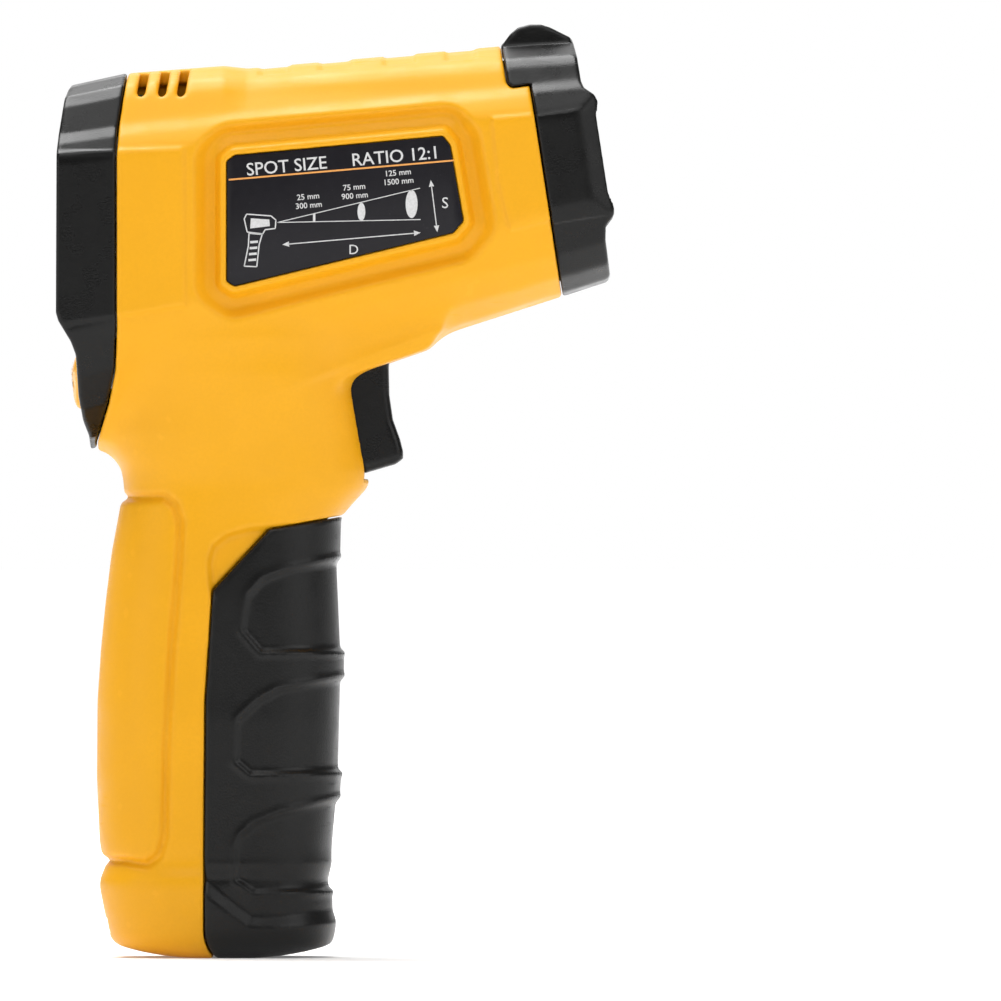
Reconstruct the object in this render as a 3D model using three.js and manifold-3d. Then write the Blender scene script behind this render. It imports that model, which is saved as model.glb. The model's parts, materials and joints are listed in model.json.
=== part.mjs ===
// Handheld infrared thermometer: a pistol-shaped housing in two halves, with a rear display hood,
// a nose hood that holds the infrared lens and the aiming laser, a pivoting trigger, three push
// buttons and a battery door that forms the front of the grip.
// Millimetres, +Z up, nose towards +X. Lengths along X are drawn from the middle of the grip, and
// the whole model is then moved so that its origin is the bottom centre of its bounding box.
import * as THREE from "three";
import { mergeVertices } from "three/addons/utils/BufferGeometryUtils.js";
import Module from "manifold-3d";

const wasm = await Module();
wasm.setup();

// ---------------------------------------------------------------- driving dimensions
const WALL = 2.2; // housing wall
const GAP = 0.3; // gap between neighbouring pieces
const SEAM = 0.15; // half the gap between the housing halves
const WIDE = 60; // longer than the object, for cutting tools
const ROUND = 16; // sides of a small cylinder

const TILT = 8.8; // optical axis above the horizontal, degrees
const NOSE = { x: 57, z: 131.3 }; // nose frame's origin, on the optical centre plane
const NOSE_BACK = -2.75; // where the nose hood meets the housing, along the optical axis
const NOSE_BACK_TOP = -6.5; // the same, on its raised top
const NOSE_STEP = 15.6; // height of the step between those two
const RIM_FRONT = 7.85; // foremost edge of the nose hood's side wings
const FACE_U = -0.6; // front of the plate that holds lens and laser
const LENS_W = -9.5; // infrared lens, below the optical centre plane
const LASER_W = 4; // aiming laser, above it

const REAR_X = -17.3; // where the display hood meets the housing
const WINDOW_X = -22.7; // rear face of the display window
const WINDOW_FRONT = -21.5; // its front face
const LCD_REAR = -19.1; // rear face of the liquid crystal cell
const LCD_FRONT = -17.7; // its front face
const BOARD_X = -14.6; // rear face of the main board
const BUTTON_Z = 97;
const SWITCH_Y = 8.9; // switches under the side buttons, from the middle
const SWITCH_Z = 98;
const BUTTON_OUT = -24.9; // crown of the buttons

const TRIGGER_PIVOT = { x: 26, z: 102.8 };
const DOOR_PIVOT = { x: 4.2, z: 4.8 };
const DOOR_SWEEP = 6.9; // radius of the door's rounded rear bottom edge, about its pivot
const CELL = { r: 5.15, length: 44.5, x: 9.9, y: 5.7, z: 15 }; // AAA cells, side by side
const SCREWS = [[-11, 12], [-10, 66], [6, 90], [14, 126]]; // x, z of the case screws
const SCREW_SEAT = 8; // y of the step under the screw heads
const LABEL_SEAT = 19.6; // depth of the label recess, from the middle
const LABEL_THICK = 0.7;
const TRIGGER_HALF = 5.8; // half the trigger's width
const TRIGGER_SLOT = { x: [14, 28.9], half: 6.3, z: [80.3, 103.5] }; // opening that the trigger swings in
const LANYARD_SLOT = { x: [-30, -15], half: 4.3, z: [5, 7.2] };
const VENTS_X = [-12.3, -8.9, -5.5]; // slots in the roof's shoulders
const CROWN_FALL = [[-15.8, 148.5], [-15.8, 160], [-40, 160], [-40, 143.2]]; // cut that slopes the hood's top

// ---------------------------------------------------------------- materials
const material = (color, roughness, metalness = 0) =>
  new THREE.MeshStandardMaterial({ color, roughness, metalness });
const yellow = material(0xf7ae1e, 0.5);
const black = material(0x242424, 0.55);
const grip = material(0x2b2b2b, 0.8);
const steel = material(0xb9bcc0, 0.3, 1);
const brass = material(0xb98b3e, 0.35, 1);
const board = material(0x1f6b3a, 0.6);
const glassClear = material(0xdfe9ec, 0.1);
const lcdGrey = material(0xd8ebee, 0.3);
const white = material(0xe8e8e4, 0.5);
const labelInk = material(0x26262b, 0.5);
const rubber = material(0x3a3a3d, 0.9);
const poly = material(0xe3ded2, 0.5);
const cellGrey = material(0x3c4650, 0.4);
const redWire = material(0xb3241c, 0.6);

// ---------------------------------------------------------------- geometry helpers
function solid(geometry) {
  const bare = (geometry.index ? geometry.toNonIndexed() : geometry).clone();
  for (const name of Object.keys(bare.attributes)) {
    if (name !== "position") bare.deleteAttribute(name);
  }
  const merged = mergeVertices(bare, 1e-4);
  const made = (triVerts) => new wasm.Manifold(new wasm.Mesh({
    numProp: 3, vertProperties: merged.attributes.position.array, triVerts,
  }));
  const triVerts = new Uint32Array(merged.index.array);
  const body = made(triVerts);
  if (body.volume() > 0) return body;
  for (let i = 0; i < triVerts.length; i += 3)
    [triVerts[i + 1], triVerts[i + 2]] = [triVerts[i + 2], triVerts[i + 1]];
  return made(triVerts);
}

function geometryOf(body) {
  const { vertProperties, triVerts, numProp } = body.getMesh();
  const points = new Float32Array((vertProperties.length / numProp) * 3);
  for (let i = 0; i < points.length / 3; i++)
    points.set(vertProperties.subarray(i * numProp, i * numProp + 3), i * 3);
  const geometry = new THREE.BufferGeometry();
  geometry.setAttribute("position", new THREE.BufferAttribute(points, 3));
  geometry.setIndex(new THREE.BufferAttribute(triVerts, 1));
  geometry.computeVertexNormals();
  return geometry;
}

const union = (...bodies) => bodies.reduce((a, b) => a.add(b));
const cut = (body, ...tools) => tools.reduce((a, b) => a.subtract(b), body);

// A closed skin through matching rings of points, with a fan at each end.
function loft(rings) {
  const n = rings[0].length;
  const points = rings.flat();
  const index = [];
  const faceOf = (a, b, c) => index.push(a, b, c);
  for (let r = 0; r + 1 < rings.length; r++)
    for (let i = 0; i < n; i++) {
      const j = (i + 1) % n;
      const [a, b, c, d] = [r * n + i, r * n + j, (r + 1) * n + j, (r + 1) * n + i];
      faceOf(a, b, c);
      faceOf(a, c, d);
    }
  for (const [r, flip] of [[0, true], [rings.length - 1, false]]) {
    const middle = rings[r].reduce((m, p) => m.add(p), new THREE.Vector3()).divideScalar(n);
    points.push(middle);
    for (let i = 0; i < n; i++) {
      const [a, b] = [r * n + i, r * n + ((i + 1) % n)];
      if (flip) faceOf(points.length - 1, b, a);
      else faceOf(points.length - 1, a, b);
    }
  }
  const geometry = new THREE.BufferGeometry().setFromPoints(points);
  geometry.setIndex(index);
  return solid(geometry);
}

const shapeOf = (outline) => new THREE.Shape(outline.map(([a, b]) => new THREE.Vector2(a, b)));

// A flat outline in X and Z, thick from y0 to y1.
function slab(outline, y0, y1) {
  const geometry = new THREE.ExtrudeGeometry(shapeOf(outline), { depth: y1 - y0, bevelEnabled: false });
  return solid(geometry.rotateX(Math.PI / 2).translate(0, y1, 0));
}

// A flat outline in Y and Z, thick from x0 to x1.
const ALONG_X = new THREE.Matrix4().makeBasis(
  new THREE.Vector3(0, 1, 0), new THREE.Vector3(0, 0, 1), new THREE.Vector3(1, 0, 0),
);
function prism(outline, x0, x1) {
  const geometry = new THREE.ExtrudeGeometry(shapeOf(outline), { depth: x1 - x0, bevelEnabled: false });
  return solid(geometry.applyMatrix4(ALONG_X).translate(x0, 0, 0));
}

function box([x0, x1], [y0, y1], [z0, z1]) {
  const geometry = new THREE.BoxGeometry(x1 - x0, y1 - y0, z1 - z0);
  return solid(geometry.translate((x0 + x1) / 2, (y0 + y1) / 2, (z0 + z1) / 2));
}

// Cylinders along each axis, from one end to the other.
function rodY(r, y0, y1, x, z, sides = ROUND) {
  return solid(new THREE.CylinderGeometry(r, r, y1 - y0, sides).translate(x, (y0 + y1) / 2, z));
}
function rodX(r, x0, x1, y, z, sides = ROUND) {
  const geometry = new THREE.CylinderGeometry(r, r, x1 - x0, sides).rotateZ(-Math.PI / 2);
  return solid(geometry.translate((x0 + x1) / 2, y, z));
}
function rodZ(r, z0, z1, x, y, sides = ROUND) {
  const geometry = new THREE.CylinderGeometry(r, r, z1 - z0, sides).rotateX(Math.PI / 2);
  return solid(geometry.translate(x, y, (z0 + z1) / 2));
}

// A turned piece about X, from a profile of [radius, x] that starts and ends on the axis, or closes.
function turned(profile, sides = 24) {
  const points = profile.map(([r, x]) => new THREE.Vector2(r, x));
  if (profile[0][0] > 0) points.push(points[0]);
  return solid(new THREE.LatheGeometry(points, sides).rotateZ(-Math.PI / 2));
}

// The outline moved inwards by d (outwards if d is negative), keeping one point per corner.
function inset(outline, d) {
  const area = outline.reduce((s, [x, y], i) => {
    const [u, v] = outline[(i + 1) % outline.length];
    return s + x * v - u * y;
  }, 0);
  const turn = Math.sign(area);
  return outline.map((p, i) => {
    const before = outline[(i + outline.length - 1) % outline.length];
    const after = outline[(i + 1) % outline.length];
    const normal = (a, b) => {
      const length = Math.hypot(b[0] - a[0], b[1] - a[1]);
      return [(-turn * (b[1] - a[1])) / length, (turn * (b[0] - a[0])) / length];
    };
    const [n1, n2] = [normal(before, p), normal(p, after)];
    const k = d / (1 + n1[0] * n2[0] + n1[1] * n2[1]);
    return [p[0] + k * (n1[0] + n2[0]), p[1] + k * (n1[1] + n2[1])];
  });
}

// Straight-line reading of a table of [position, value] pairs.
function reading(table, at) {
  const i = Math.max(1, table.findIndex(([z]) => z >= at));
  const last = table.length - 1;
  const [[z0, v0], [z1, v1]] = at > table[last][0] ? table.slice(-2) : [table[i - 1], table[i]];
  return v0 + ((v1 - v0) * Math.min(1, Math.max(0, (at - z0) / (z1 - z0))));
}

const mirrored = (half) => [...half, ...half.slice(1, -1).reverse().map(([y, z]) => [-y, z])];

const arc = (cx, cy, r, from, to, steps) =>
  Array.from({ length: steps + 1 }, (_, i) => {
    const a = ((from + ((to - from) * i) / steps) * Math.PI) / 180;
    return [cx + r * Math.cos(a), cy + r * Math.sin(a)];
  });

// ---------------------------------------------------------------- outlines
// Half section of the barrel where it meets the display hood: [y, z], from the roof to the chin.
const REAR_HALF = [
  [0, 148.4], [7, 147.9], [12, 146.3], [14.2, 144.4], [17.3, 139.6], [19.6, 137.7], [21.3, 135.4],
  [21.6, 134], [21.6, 106.6], [20.9, 104.6], [17.9, 99], [13.4, 93.4], [7, 88.5], [0, 86.7],
];
// The same points where the barrel meets the nose hood, in the nose frame.
const NOSE_HALF = [
  [0, 23.1], [5.5, 22.4], [12, 20.2], [14, 18.6], [16.2, 15.8], [18.4, 14.1], [20.4, 11.4],
  [20.8, 10.2], [20.8, -6], [20.3, -7.6], [17, -13], [12.6, -17], [6.5, -19.6], [0, -20.2],
];
// Side outlines of the grip, [z, x], and its half width, [z, y].
const GRIP_REAR = [
  [0, -12.5], [1, -15], [2.2, -16.9], [3.8, -18], [7, -19.1], [12, -20.3], [14, -20.1], [15.8, -19.4],
  [19, -20.3], [30, -20.8], [43, -20.8], [60, -19.7], [75, -17.3], [78.5, -16.6], [82, -17.1],
  [84.5, -18.4], [88, -19.6], [96, -16.5], [104, -14],
];
const GRIP_FRONT = [
  [0, 13.5], [1, 17], [2.2, 18.6], [5.5, 19.5], [9, 18.6], [18, 18.8], [30, 20.1], [50, 20.6],
  [66, 19.9], [74, 20.2], [79, 24.5], [81.5, 24.5], [98, 21.8], [104, 21],
];
const GRIP_HALF_WIDTH = [
  [0, 11], [1, 13.5], [2.2, 15], [4, 16.2], [7, 17], [12, 17.3], [15.8, 16.2], [19, 16.5], [40, 16.8],
  [60, 16.3], [74, 15.6], [80, 15.4], [86, 16.1], [92, 17.6], [98, 19.4], [104, 20.6],
];
const GRIP_SQUARE = 2.7; // superellipse power of the grip's section
const GRIP_LEVELS = [0, 1, 2.2, 4, 7, 12, 15.8, 19, 30, 43, 60, 74, 79, 81.5, 86, 92, 98, 104];
const INNER_LEVELS = [WALL, 7, 14, 30, 60, 74, 81.5, 92, 104];

// Side outline of the display hood, [x, z].
const HOOD_SIDE = [
  [-15.6, 155], [-15.6, 148.5], [-16.3, 144], [-17, 139], [-17.3, 134], [-17.3, 105.3], [-17.6, 98.6],
  [-18.7, 93.2], [-20.7, 86.7], [-21.2, 80], [-22, 80], [-22.6, 87.6], [-23.3, 90], [-23.8, 94],
  [-24.2, 101], [-25, 103.2], [-27.1, 106.7], [-27.5, 108], [-27.4, 135], [-27.1, 138], [-26.2, 144],
  [-25.4, 146.2], [-25.4, 155],
];
// Side outline of the nose hood, in the nose frame.
const NOSE_SIDE = [
  [NOSE_BACK, -24], [4.4, -24], [4.6, -19.4], [5.4, -17.9], [5.6, -12], [6.1, -9.8], [7.6, -8.2],
  [RIM_FRONT, -7], [RIM_FRONT, 11.1], [7.4, 12.4], [6, 13.8], [5.7, 15], [5.7, 19.1], [5.2, 24],
  [5.2, 30], [NOSE_BACK_TOP, 30], [NOSE_BACK_TOP, NOSE_STEP], [NOSE_BACK, NOSE_STEP],
];
const SIGHT_SIDE = [
  [-6.5, 21], [-6.5, 23.1], [-4.7, 24.7], [-3.2, 25.6], [-1.2, 25.8], [0.7, 25.5], [2.1, 24.8],
  [5.2, 22.5], [5.2, 21],
];
// The battery door's share of the grip, [x, z], with its bottom edge round about the pivot.
const DOOR_SIDE = [
  [40, 77.7], [20.2, 74.1], [8.2, 71.9], [-1.3, 61.6], [-2.5, 43], [DOOR_PIVOT.x - DOOR_SWEEP, 18],
  ...arc(DOOR_PIVOT.x, DOOR_PIVOT.z, DOOR_SWEEP, 180, 224, 5), [-0.6, -8], [40, -8],
];
// Underside of the barrel around the trigger.
const TRIGGER_BLOCK = [
  [12, 97], [21.8, 97.6], [28.1, 99.7], [35.1, 102.1], [36.8, 104.8], [36.8, 112], [12, 112],
];
const BLOCK_HALF = 12; // half its width
// Label panel on the side of the barrel, [x, z], clockwise from its upper rear corner.
const LABEL = [
  [1.2, 133.4], [2.5, 134.4], [37.3, 137.6], [38.5, 136.1], [40.7, 123.5], [39, 121.5], [2.5, 112.6],
  [1.2, 113.4],
];

// ---------------------------------------------------------------- big shapes
const tilt = THREE.MathUtils.degToRad(TILT);
const noseMatrix = new THREE.Matrix4().makeRotationY(-tilt).setPosition(NOSE.x, 0, NOSE.z);
const noseSolid = (body) => solid(geometryOf(body).applyMatrix4(noseMatrix));

// The barrel between its two end sections, carried past both ends, with its wall moved in by d.
function barrel(d) {
  const rear = mirrored(d ? insetHalf(REAR_HALF, d) : REAR_HALF);
  const front = mirrored(d ? insetHalf(NOSE_HALF, d) : NOSE_HALF);
  const a = rear.map(([y, z]) => new THREE.Vector3(REAR_X, y, z));
  const b = front.map(([y, w]) => new THREE.Vector3(NOSE_BACK, y, w).applyMatrix4(noseMatrix));
  const past = 0.14; // share of its length that the barrel runs on past each end
  return loft([
    a.map((p, i) => p.clone().lerp(b[i], -past)),
    a.map((p, i) => p.clone().lerp(b[i], 1 + past)),
  ]);
}
function insetHalf(half, d) {
  return inset(mirrored(half), d).slice(0, half.length);
}

// The grip, with its wall moved in by d.
function gripBody(d) {
  const steps = d ? 20 : 28;
  const bend = (t) => Math.sign(t) * Math.abs(t) ** (2 / GRIP_SQUARE);
  const ring = (z) => {
    const [x0, x1] = [reading(GRIP_REAR, z) + d, reading(GRIP_FRONT, z) - d];
    const half = reading(GRIP_HALF_WIDTH, z) - d;
    return Array.from({ length: steps }, (_, i) => {
      const a = (2 * Math.PI * (i + 0.5)) / steps;
      const x = (x0 + x1) / 2 + ((x1 - x0) / 2) * bend(Math.cos(a));
      return new THREE.Vector3(x, half * bend(Math.sin(a)), z);
    });
  };
  return loft((d ? INNER_LEVELS : GRIP_LEVELS).map(ring));
}

const triggerBlock = (d) => slab(inset(TRIGGER_BLOCK, d), d - BLOCK_HALF, BLOCK_HALF - d);
const doorSlab = (grow) => slab(inset(DOOR_SIDE, -grow), -WIDE, WIDE);
const hoodSlab = (grow) => slab(inset(HOOD_SIDE, -grow), -WIDE, WIDE);
const noseSlab = (grow) => noseSolid(slab(inset(NOSE_SIDE, -grow), -WIDE, WIDE));

// ---------------------------------------------------------------- housing halves
function housing() {
  const outer = union(barrel(0), gripBody(0), triggerBlock(0));
  const inner = union(barrel(WALL), gripBody(WALL), triggerBlock(WALL));
  const ends = [doorSlab(GAP), hoodSlab(GAP), noseSlab(GAP)];
  const behindHood = slab([[-60, 70], [-60, 160], [-22, 160], [-22, 70]], -WIDE, WIDE);
  const aheadOfNose = noseSolid(slab([[4, -40], [4, 40], [40, 40], [40, -40]], -WIDE, WIDE));
  return cut(outer, inner, ...ends, behindHood, aheadOfNose);
}

// Three slots that run round the roof's shoulders, leaning with the hood's edge.
function vents() {
  const lean = 0.16;
  return VENTS_X.map((x) => slab([
    [x - 0.65 - lean * 5, 143.9], [x + 0.65 - lean * 5, 143.9], [x + 0.65, 152], [x - 0.65, 152],
  ], 2, 20));
}
const bothSides = (body) => union(body, body.mirror([0, 1, 0]));

// The span from y0 to y1 on the left side (side 1) or, mirrored, on the right side (side -1).
const outwards = (side, y0, y1) => (side > 0 ? [y0, y1] : [-y1, -y0]);

// The screws go in from the left: each has a post with a well in the left half, and a boss in the right half.
function screwTowers(side) {
  const [r, holeR, holeSpan] = side > 0 ? [4.2, 1.5, [-1, WIDE]] : [3.2, 1.45, [-13, 1]];
  return SCREWS.map(([x, z]) => ({
    post: rodY(r, ...outwards(side, SEAM, WIDE), x, z),
    hole: rodY(holeR, ...holeSpan, x, z),
    well: side > 0 ? rodY(2.9, SCREW_SEAT, WIDE, x, z) : null,
  }));
}

// side is 1 for the left half and -1 for the right half.
function housingHalf(whole, envelope, side) {
  const keep = box([-80, 120], outwards(side, SEAM, WIDE), [-10, 200]);
  const towers = screwTowers(side);
  const bearing = rodY(3.2, ...outwards(side, 6.6, WIDE), TRIGGER_PIVOT.x, TRIGGER_PIVOT.z);
  const springRib = box([10.8, 12.4], outwards(side, SEAM, 17), [85.5, 94]);
  const lanyardPost = rodZ(1.6, 1, 9.5, -15.2, 0, 12);
  const labelSeat = slab(inset(LABEL, -2.4), ...outwards(side, LABEL_SEAT - WALL, LABEL_SEAT));
  const posts = union(bearing, springRib, lanyardPost, labelSeat, ...towers.map((t) => t.post))
    .intersect(envelope).intersect(keep);
  let half = union(whole.intersect(keep), posts);
  half = cut(half, ...vents().map(bothSides), ...towers.map((t) => t.hole));
  half = cut(half, ...towers.filter((t) => t.well).map((t) => t.well));
  half = cut(half, rodY(1.35, -11.8, 11.8, TRIGGER_PIVOT.x, TRIGGER_PIVOT.z));
  for (const { x, half: reach, z } of [TRIGGER_SLOT, LANYARD_SLOT])
    half = cut(half, box(x, [-reach, reach], z));
  return cut(half, slab(inset(LABEL, -GAP), ...outwards(side, LABEL_SEAT, WIDE)));
}

// ---------------------------------------------------------------- scene graph
const root = new THREE.Group();
const body = new THREE.Group(); // everything, before the move to the bounding box's bottom centre
const optics = new THREE.Group(); // what lies square to the optical axis
optics.position.set(NOSE.x, 0, NOSE.z);
optics.rotation.y = -tilt;
root.add(body);
body.add(optics);

function piece(name, shape, look, group = body) {
  const mesh = new THREE.Mesh(shape.isBufferGeometry ? shape : geometryOf(shape), look);
  mesh.name = name;
  group.add(mesh);
  return mesh;
}

const shell = housing();
const envelope = cut(
  union(barrel(1), gripBody(1), triggerBlock(1)),
  doorSlab(GAP), hoodSlab(GAP), noseSlab(GAP),
);
for (const [name, side] of [["left", 1], ["right", -1]]) {
  piece("housing_" + name, housingHalf(shell, envelope, side), yellow);
  const start = LABEL_SEAT + 0.2;
  piece("label_" + name, slab(LABEL, ...outwards(side, start, start + LABEL_THICK)), labelInk);
}

// ---------------------------------------------------------------- display hood and display
function scaled(half, k, middle) {
  return half.map(([y, z]) => [y * k, middle + (z - middle) * k]);
}
function hoodShell(d) {
  const at = (x, half) => mirrored(d ? insetHalf(half, d) : half)
    .map(([y, z]) => new THREE.Vector3(x, y, z));
  return loft([at(-10, REAR_HALF), at(REAR_X, REAR_HALF), at(-29, scaled(REAR_HALF, 0.985, 120))]);
}
const WINDOW = [
  [0, 143.9], [7, 143.2], [11.5, 141.2], [15.4, 136.8], [17.6, 133], [17.6, 105.6], [16, 104.2], [0, 104.2],
];
const WELL = WINDOW.map(([y, z]) => [y * 1.08, 124 + (z - 124) * (z > 124 ? 1.03 : 1)]);

const modeButton = arc(0, BUTTON_Z, 4.65, 0, 342, 19);
const sideButton = [
  [5.9, 101.2], [6.5, 101.5], [10.6, 101.5], [13.3, 100.7], [14.7, 99.2], [14.6, 97.8], [13.6, 96.3],
  [9.4, 92.5], [8, 92], [6.6, 92.3], [6, 93.1], [6.3, 95], [6.4, 97.4], [6.1, 99.4],
];
const flipY = (outline) => outline.map(([y, z]) => [-y, z]);
const BUTTONS = { up: sideButton, mode: modeButton, down: flipY(sideButton) };
const SWITCH_AT = { up: SWITCH_Y, mode: 0, down: -SWITCH_Y };

function displayHood() {
  const behind = inset(mirrored(WINDOW), 1.6).map(([y, z]) => [y, Math.max(z, 106)]);
  const well = loft([WELL, WINDOW].map((half, i) =>
    mirrored(half).map(([y, z]) => new THREE.Vector3(i ? WINDOW_X : -28.5, y, z))));
  const seat = prism(inset(mirrored(WINDOW), -0.3), WINDOW_X, -21.2);
  const panelBack = box([-22.2, 0], [-WIDE, WIDE], [80, 103.6]);
  let hood = hoodShell(0).intersect(hoodSlab(0));
  hood = cut(hood, hoodShell(1.8).intersect(box([-20.4, 0], [-WIDE, WIDE], [103.6, 160])));
  hood = cut(hood, hoodShell(1.8).intersect(panelBack), slab(CROWN_FALL, -WIDE, WIDE));
  hood = cut(hood, well, seat, prism(behind, -24, -15));
  for (const outline of Object.values(BUTTONS)) hood = cut(hood, prism(inset(outline, -0.25), -40, -18));
  return hood;
}
piece("display_hood", displayHood(), black);
piece("display_window", prism(mirrored(WINDOW), WINDOW_X, WINDOW_FRONT), glassClear);
const behindLcd = LCD_FRONT + GAP;
const frameFront = BOARD_X - GAP;
piece("lcd_glass", box([LCD_REAR, LCD_FRONT], [-15, 15], [105.1, 136.6]), lcdGrey);
piece("lcd_backlight", box([behindLcd, frameFront - GAP], [-15, 15], [108, 136.6]), white);
piece("zebra_strip", box([behindLcd, frameFront], [-14, 14], [105.2, 107.6]), rubber);
piece("lcd_frame", cut(
  box([LCD_REAR - 1, frameFront], [-16, 16], [104, 137.6]),
  box([LCD_REAR - GAP, -14], [-15.3, 15.3], [104.8, 136.9]),
  box([-24, -14], [-14.4, 14.4], [106.6, 136.2]),
), white);
piece("status_lamp", box([-20.9, BOARD_X - GAP], [-3.5, 3.5], [138.9, 141.7]), black);

const boardEdge = inset(mirrored(REAR_HALF), WALL + 1.2);
piece("main_board", prism(boardEdge, BOARD_X, BOARD_X + 1.6), board);
piece("controller_chip", box([BOARD_X + 1.9, BOARD_X + 3.1], [-5, 5], [112, 122]), black);
piece("buzzer", rodX(5.9, BOARD_X + 1.9, BOARD_X + 7.4, 0, 134.6, 24), black);

// ---------------------------------------------------------------- push buttons and their switches
for (const [side, outline] of Object.entries(BUTTONS)) {
  const y = SWITCH_AT[side];
  const at = (x, d) => inset(outline, d).map(([a, z]) => new THREE.Vector3(x, a, z));
  const domed = [[0, 1.6], [0.25, 0.7], [0.8, 0.15]].map(([back, d]) => at(BUTTON_OUT + back, d));
  const cap = loft([...domed, at(-21.6, 0)]);
  const flange = prism(inset(outline, -0.7), -21.8, -20.9).intersect(hoodShell(2.2));
  const stem = box([-21, -19.4], [y - 1.6, y + 1.6], [SWITCH_Z - 1.6, SWITCH_Z + 1.6]);
  piece("button_" + side, union(cap, flange, stem), yellow);
  piece("plunger_" + side, rodX(1.5, -19.1, -17.6, y, SWITCH_Z), black);
  const can = box([-18.4, BOARD_X - GAP], [y - 2.6, y + 2.6], [SWITCH_Z - 2.6, SWITCH_Z + 2.6]);
  piece("switch_" + side, cut(can, rodX(1.75, -19, -16.2, y, SWITCH_Z)), steel);
}

// ---------------------------------------------------------------- nose hood and optics
function noseShell(d, from = -14, to = 10) {
  const at = (u, k) => mirrored(d ? insetHalf(scaled(NOSE_HALF, k, 0), d) : scaled(NOSE_HALF, k, 0))
    .map(([y, w]) => new THREE.Vector3(u, y, w));
  return loft([at(from, 1 + (NOSE_BACK - from) * 0.003), at(to, 1 - (to - NOSE_BACK) * 0.003)]);
}
function noseHood() {
  const outer = union(noseShell(0).intersect(slab(NOSE_SIDE, -WIDE, WIDE)), slab(SIGHT_SIDE, -4.8, 4.8));
  const front = noseShell(1.7, FACE_U, 12);
  const back = noseShell(1.8, -20, FACE_U - 2);
  const tube = (r, from, w) => rodX(r, from, FACE_U + 1, 0, w, 28);
  const spigot = cut(
    noseShell(WALL + 0.4, -5.6, FACE_U - 1),
    noseShell(WALL + 1.8, -8, 3),
    rodX(8.5, -9, FACE_U - 1.5, 0, LENS_W),
    box([-9, FACE_U - 1.5], [-WIDE, WIDE], [13, 40]),
  );
  const laserSleeve = rodX(4.3, -12, FACE_U - 1, 0, LASER_W);
  return cut(
    union(cut(outer, front, back), spigot, laserSleeve),
    tube(5.8, -9, LENS_W), rodX(3.25, -14, FACE_U - 1, 0, LASER_W), rodX(2.2, -14, 2, 0, LASER_W),
  );
}
piece("nose_hood", noseHood(), black, optics);
const ringProfile = [[5.9, 0.3], [7.6, 0.3], [7.6, 1.2], [7, 1.9], [6.6, 1.9]]
  .map(([r, u]) => [r, FACE_U + u]);
piece("lens_ring", turned(ringProfile).translate([0, 0, LENS_W]), black, optics);
const lensProfile = [[0, -4.7], [6.7, -4.7], [6.7, -3.9], [4.6, -3.5], [0, -3.3]];
piece("infrared_lens", turned(lensProfile).translate([0, 0, LENS_W]), poly, optics);
const tubeProfile = [
  [6.95, -2.95], [8, -2.95], [8, -6], [7.3, -7], [7.3, -33], [4.9, -33], [4.9, -31.2], [6.2, -31.2],
  [6.2, -5], [6.95, -5],
];
piece("sensor_tube", turned(tubeProfile).translate([0, 0, LENS_W]), black, optics);
const canProfile = [
  [0, -34.6], [4.75, -34.6], [4.75, -33.3], [4.3, -33.3], [4.3, -30.6], [2.2, -30.3], [0, -30.3],
];
piece("infrared_sensor", turned(canProfile).translate([0, 0, LENS_W]), steel, optics);
piece("sensor_board", rodX(6.4, -36.2, -34.9, 0, LENS_W, 24), board, optics);
piece("laser_module", rodX(3, -15, FACE_U - 2.4, 0, LASER_W), brass, optics);
piece("laser_window", rodX(1.95, FACE_U - 2, FACE_U - 0.6, 0, LASER_W), glassClear, optics);

// ---------------------------------------------------------------- trigger
const TRIGGER_SIDE = [
  [20.2, 101.4], [19.3, 97], [19.6, 83.5], [24.3, 81.3], [29.4, 82.8], [30.6, 83.7], [30.6, 85], [30.1, 87],
  [28.9, 90.3], [28.3, 94.4], [28.2, 99], [28.6, 102.8], [27.6, 105], [26, 105.4], [24, 104.2],
  [20.2, 103.4],
];
const triggerBlade = cut(
  slab(TRIGGER_SIDE, -TRIGGER_HALF, TRIGGER_HALF),
  rodY(1.35, -7, 7, TRIGGER_PIVOT.x, TRIGGER_PIVOT.z),
  slab([[16, 98.5], [21.6, 98.5], [22.6, 86], [16, 84.5]], -4.4, 4.4),
);
piece("trigger", triggerBlade, black);
piece("trigger_pin", rodY(1.2, -11.5, 11.5, TRIGGER_PIVOT.x, TRIGGER_PIVOT.z, 16), steel);
const TRIGGER_SWITCH_X = 20.9;
piece("trigger_plunger", rodZ(1.4, 103.9, 105.6, TRIGGER_SWITCH_X, 0, 16), black);
piece("trigger_switch", cut(
  box([TRIGGER_SWITCH_X - 2.4, TRIGGER_SWITCH_X + 2.1], [-3, 3], [104.9, 107.9]),
  rodZ(1.6, 104, 106.9, TRIGGER_SWITCH_X, 0, 16),
), steel);
piece("trigger_board", box([12.5, 22.6], [-6.5, 6.5], [108.2, 109.3]), board);

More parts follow.
